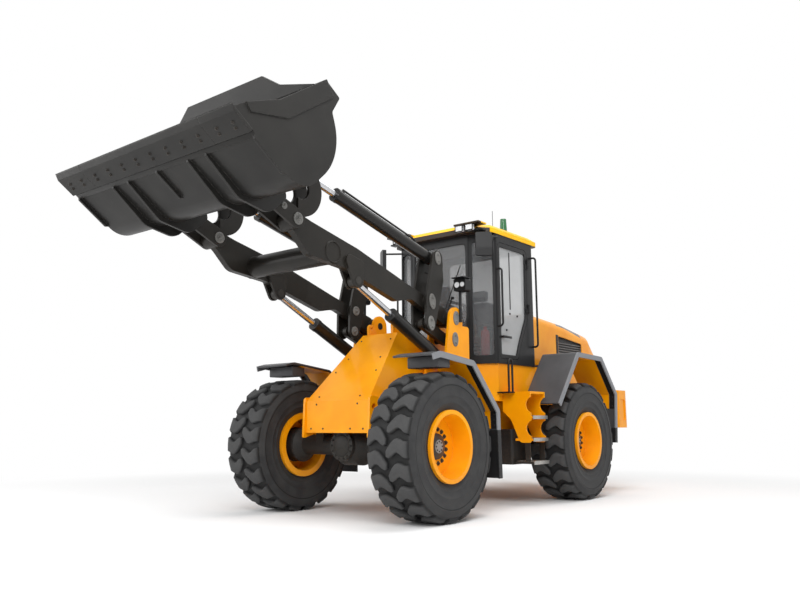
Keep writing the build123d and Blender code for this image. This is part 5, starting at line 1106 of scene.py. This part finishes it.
hose_rubber = material("hose_rubber")
spot = hose_rubber.spot()
threads = {"Vector": spot, "Scale": 90.0}
braid = hose_rubber.node("TexWave", threads, bands_direction="DIAGONAL")
dusty = noise(hose_rubber, spot, 14.0, 4.0)
tone = mixed(hose_rubber, dusty, (30, 30, 30), (48, 47, 45))
hose_black = surface(hose_rubber, tone, 0.6, bump(hose_rubber, braid, 0.4, 0.0008))
for hand, side in ((1, "left"), (-1, "right")):
    for index, (port, gap) in enumerate(HOSE_Y):
        curve = bpy.data.curves.new("tilt_hose", "CURVE")
        curve.dimensions = "3D"
        curve.bevel_depth = HOSE_D / 2
        curve.bevel_resolution = 4
        curve.resolution_u = 16
        curve.use_fill_caps = True
        spline = curve.splines.new("NURBS")
        spline.points.add(len(HOSE_LINE) - 1)
        for point, (x, z, share) in zip(spline.points, HOSE_LINE):
            point.co = (x + HINGE_X, hand * (port + (gap - port) * share), z, 1.0)
        spline.order_u = 3
        spline.use_endpoint_u = True
        curve.materials.append(hose_black)
        hose = bpy.data.objects.new("tilt_hose_{}_{}".format(side, index), curve)
        scene.collection.objects.link(hose)
        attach(hose, "tilt_lever_pair")


# Bucket: bent and welded wear plate in the same warm dark grey, worn along its edges. Three edge pieces
# are held by pairs of plough bolts, with a strip welded on behind them.
PIVOT = Vector((3.100, 0, 2.854))
ROLL = math.radians(35.5)
EDGE_DROP = 0.365
# columns: distance forward of the pivot, shift sideways
EDGE_PAIR = ((1.180, -0.008), (1.232, 0.008))
MIDDLE_HALF = 0.78
MIDDLE_PAIRS = 8
END_PAIRS_Y = [-1.22, -1.02, 1.02, 1.22]
STRIP_SIZE = (0.055, 2.63, 0.016)
STRIP_FORWARD = 1.076
STRIP_DROP = 0.342
bucket_dark = enamel("bucket_enamel", (40, 39, 37), (31, 30, 29), (112, 108, 104), 0.42, 0.08, 0.01)
dress(bucket_dark, "bucket_shell", "bucket_edge")
along = Vector((math.cos(ROLL), 0, math.sin(ROLL)))
lift = Vector((-math.sin(ROLL), 0, math.cos(ROLL)))
pivot = PIVOT + FROM_HINGE
pitch = 2 * MIDDLE_HALF / (MIDDLE_PAIRS - 1)
pairs_y = [-MIDDLE_HALF + pitch * index for index in range(MIDDLE_PAIRS)] + END_PAIRS_Y
spots = [
    pivot + along * ahead - lift * EDGE_DROP + Vector((0, y + slide, 0))
    for y in pairs_y for ahead, slide in EDGE_PAIR
]
edge_bolts = bmesh.new()
bolts(edge_bolts, spots, -lift, 0.010)
settle("edge_bolts", edge_bolts, "bucket", bolt_dark)
strip = bmesh.new()
bmesh.ops.create_cube(strip, size=1.0)
bmesh.ops.scale(strip, verts=strip.verts[:], vec=STRIP_SIZE)
bmesh.ops.bevel(
    strip, geom=strip.edges[:], affect="EDGES", offset=0.004, segments=2, profile=0.5, material=-1,
)
behind = pivot + along * STRIP_FORWARD - lift * STRIP_DROP
seat = Matrix.Translation(behind) @ Matrix.Rotation(-ROLL, 4, "Y")
bmesh.ops.transform(strip, matrix=seat, verts=strip.verts[:])
settle("edge_strip", strip, "bucket", bucket_dark)
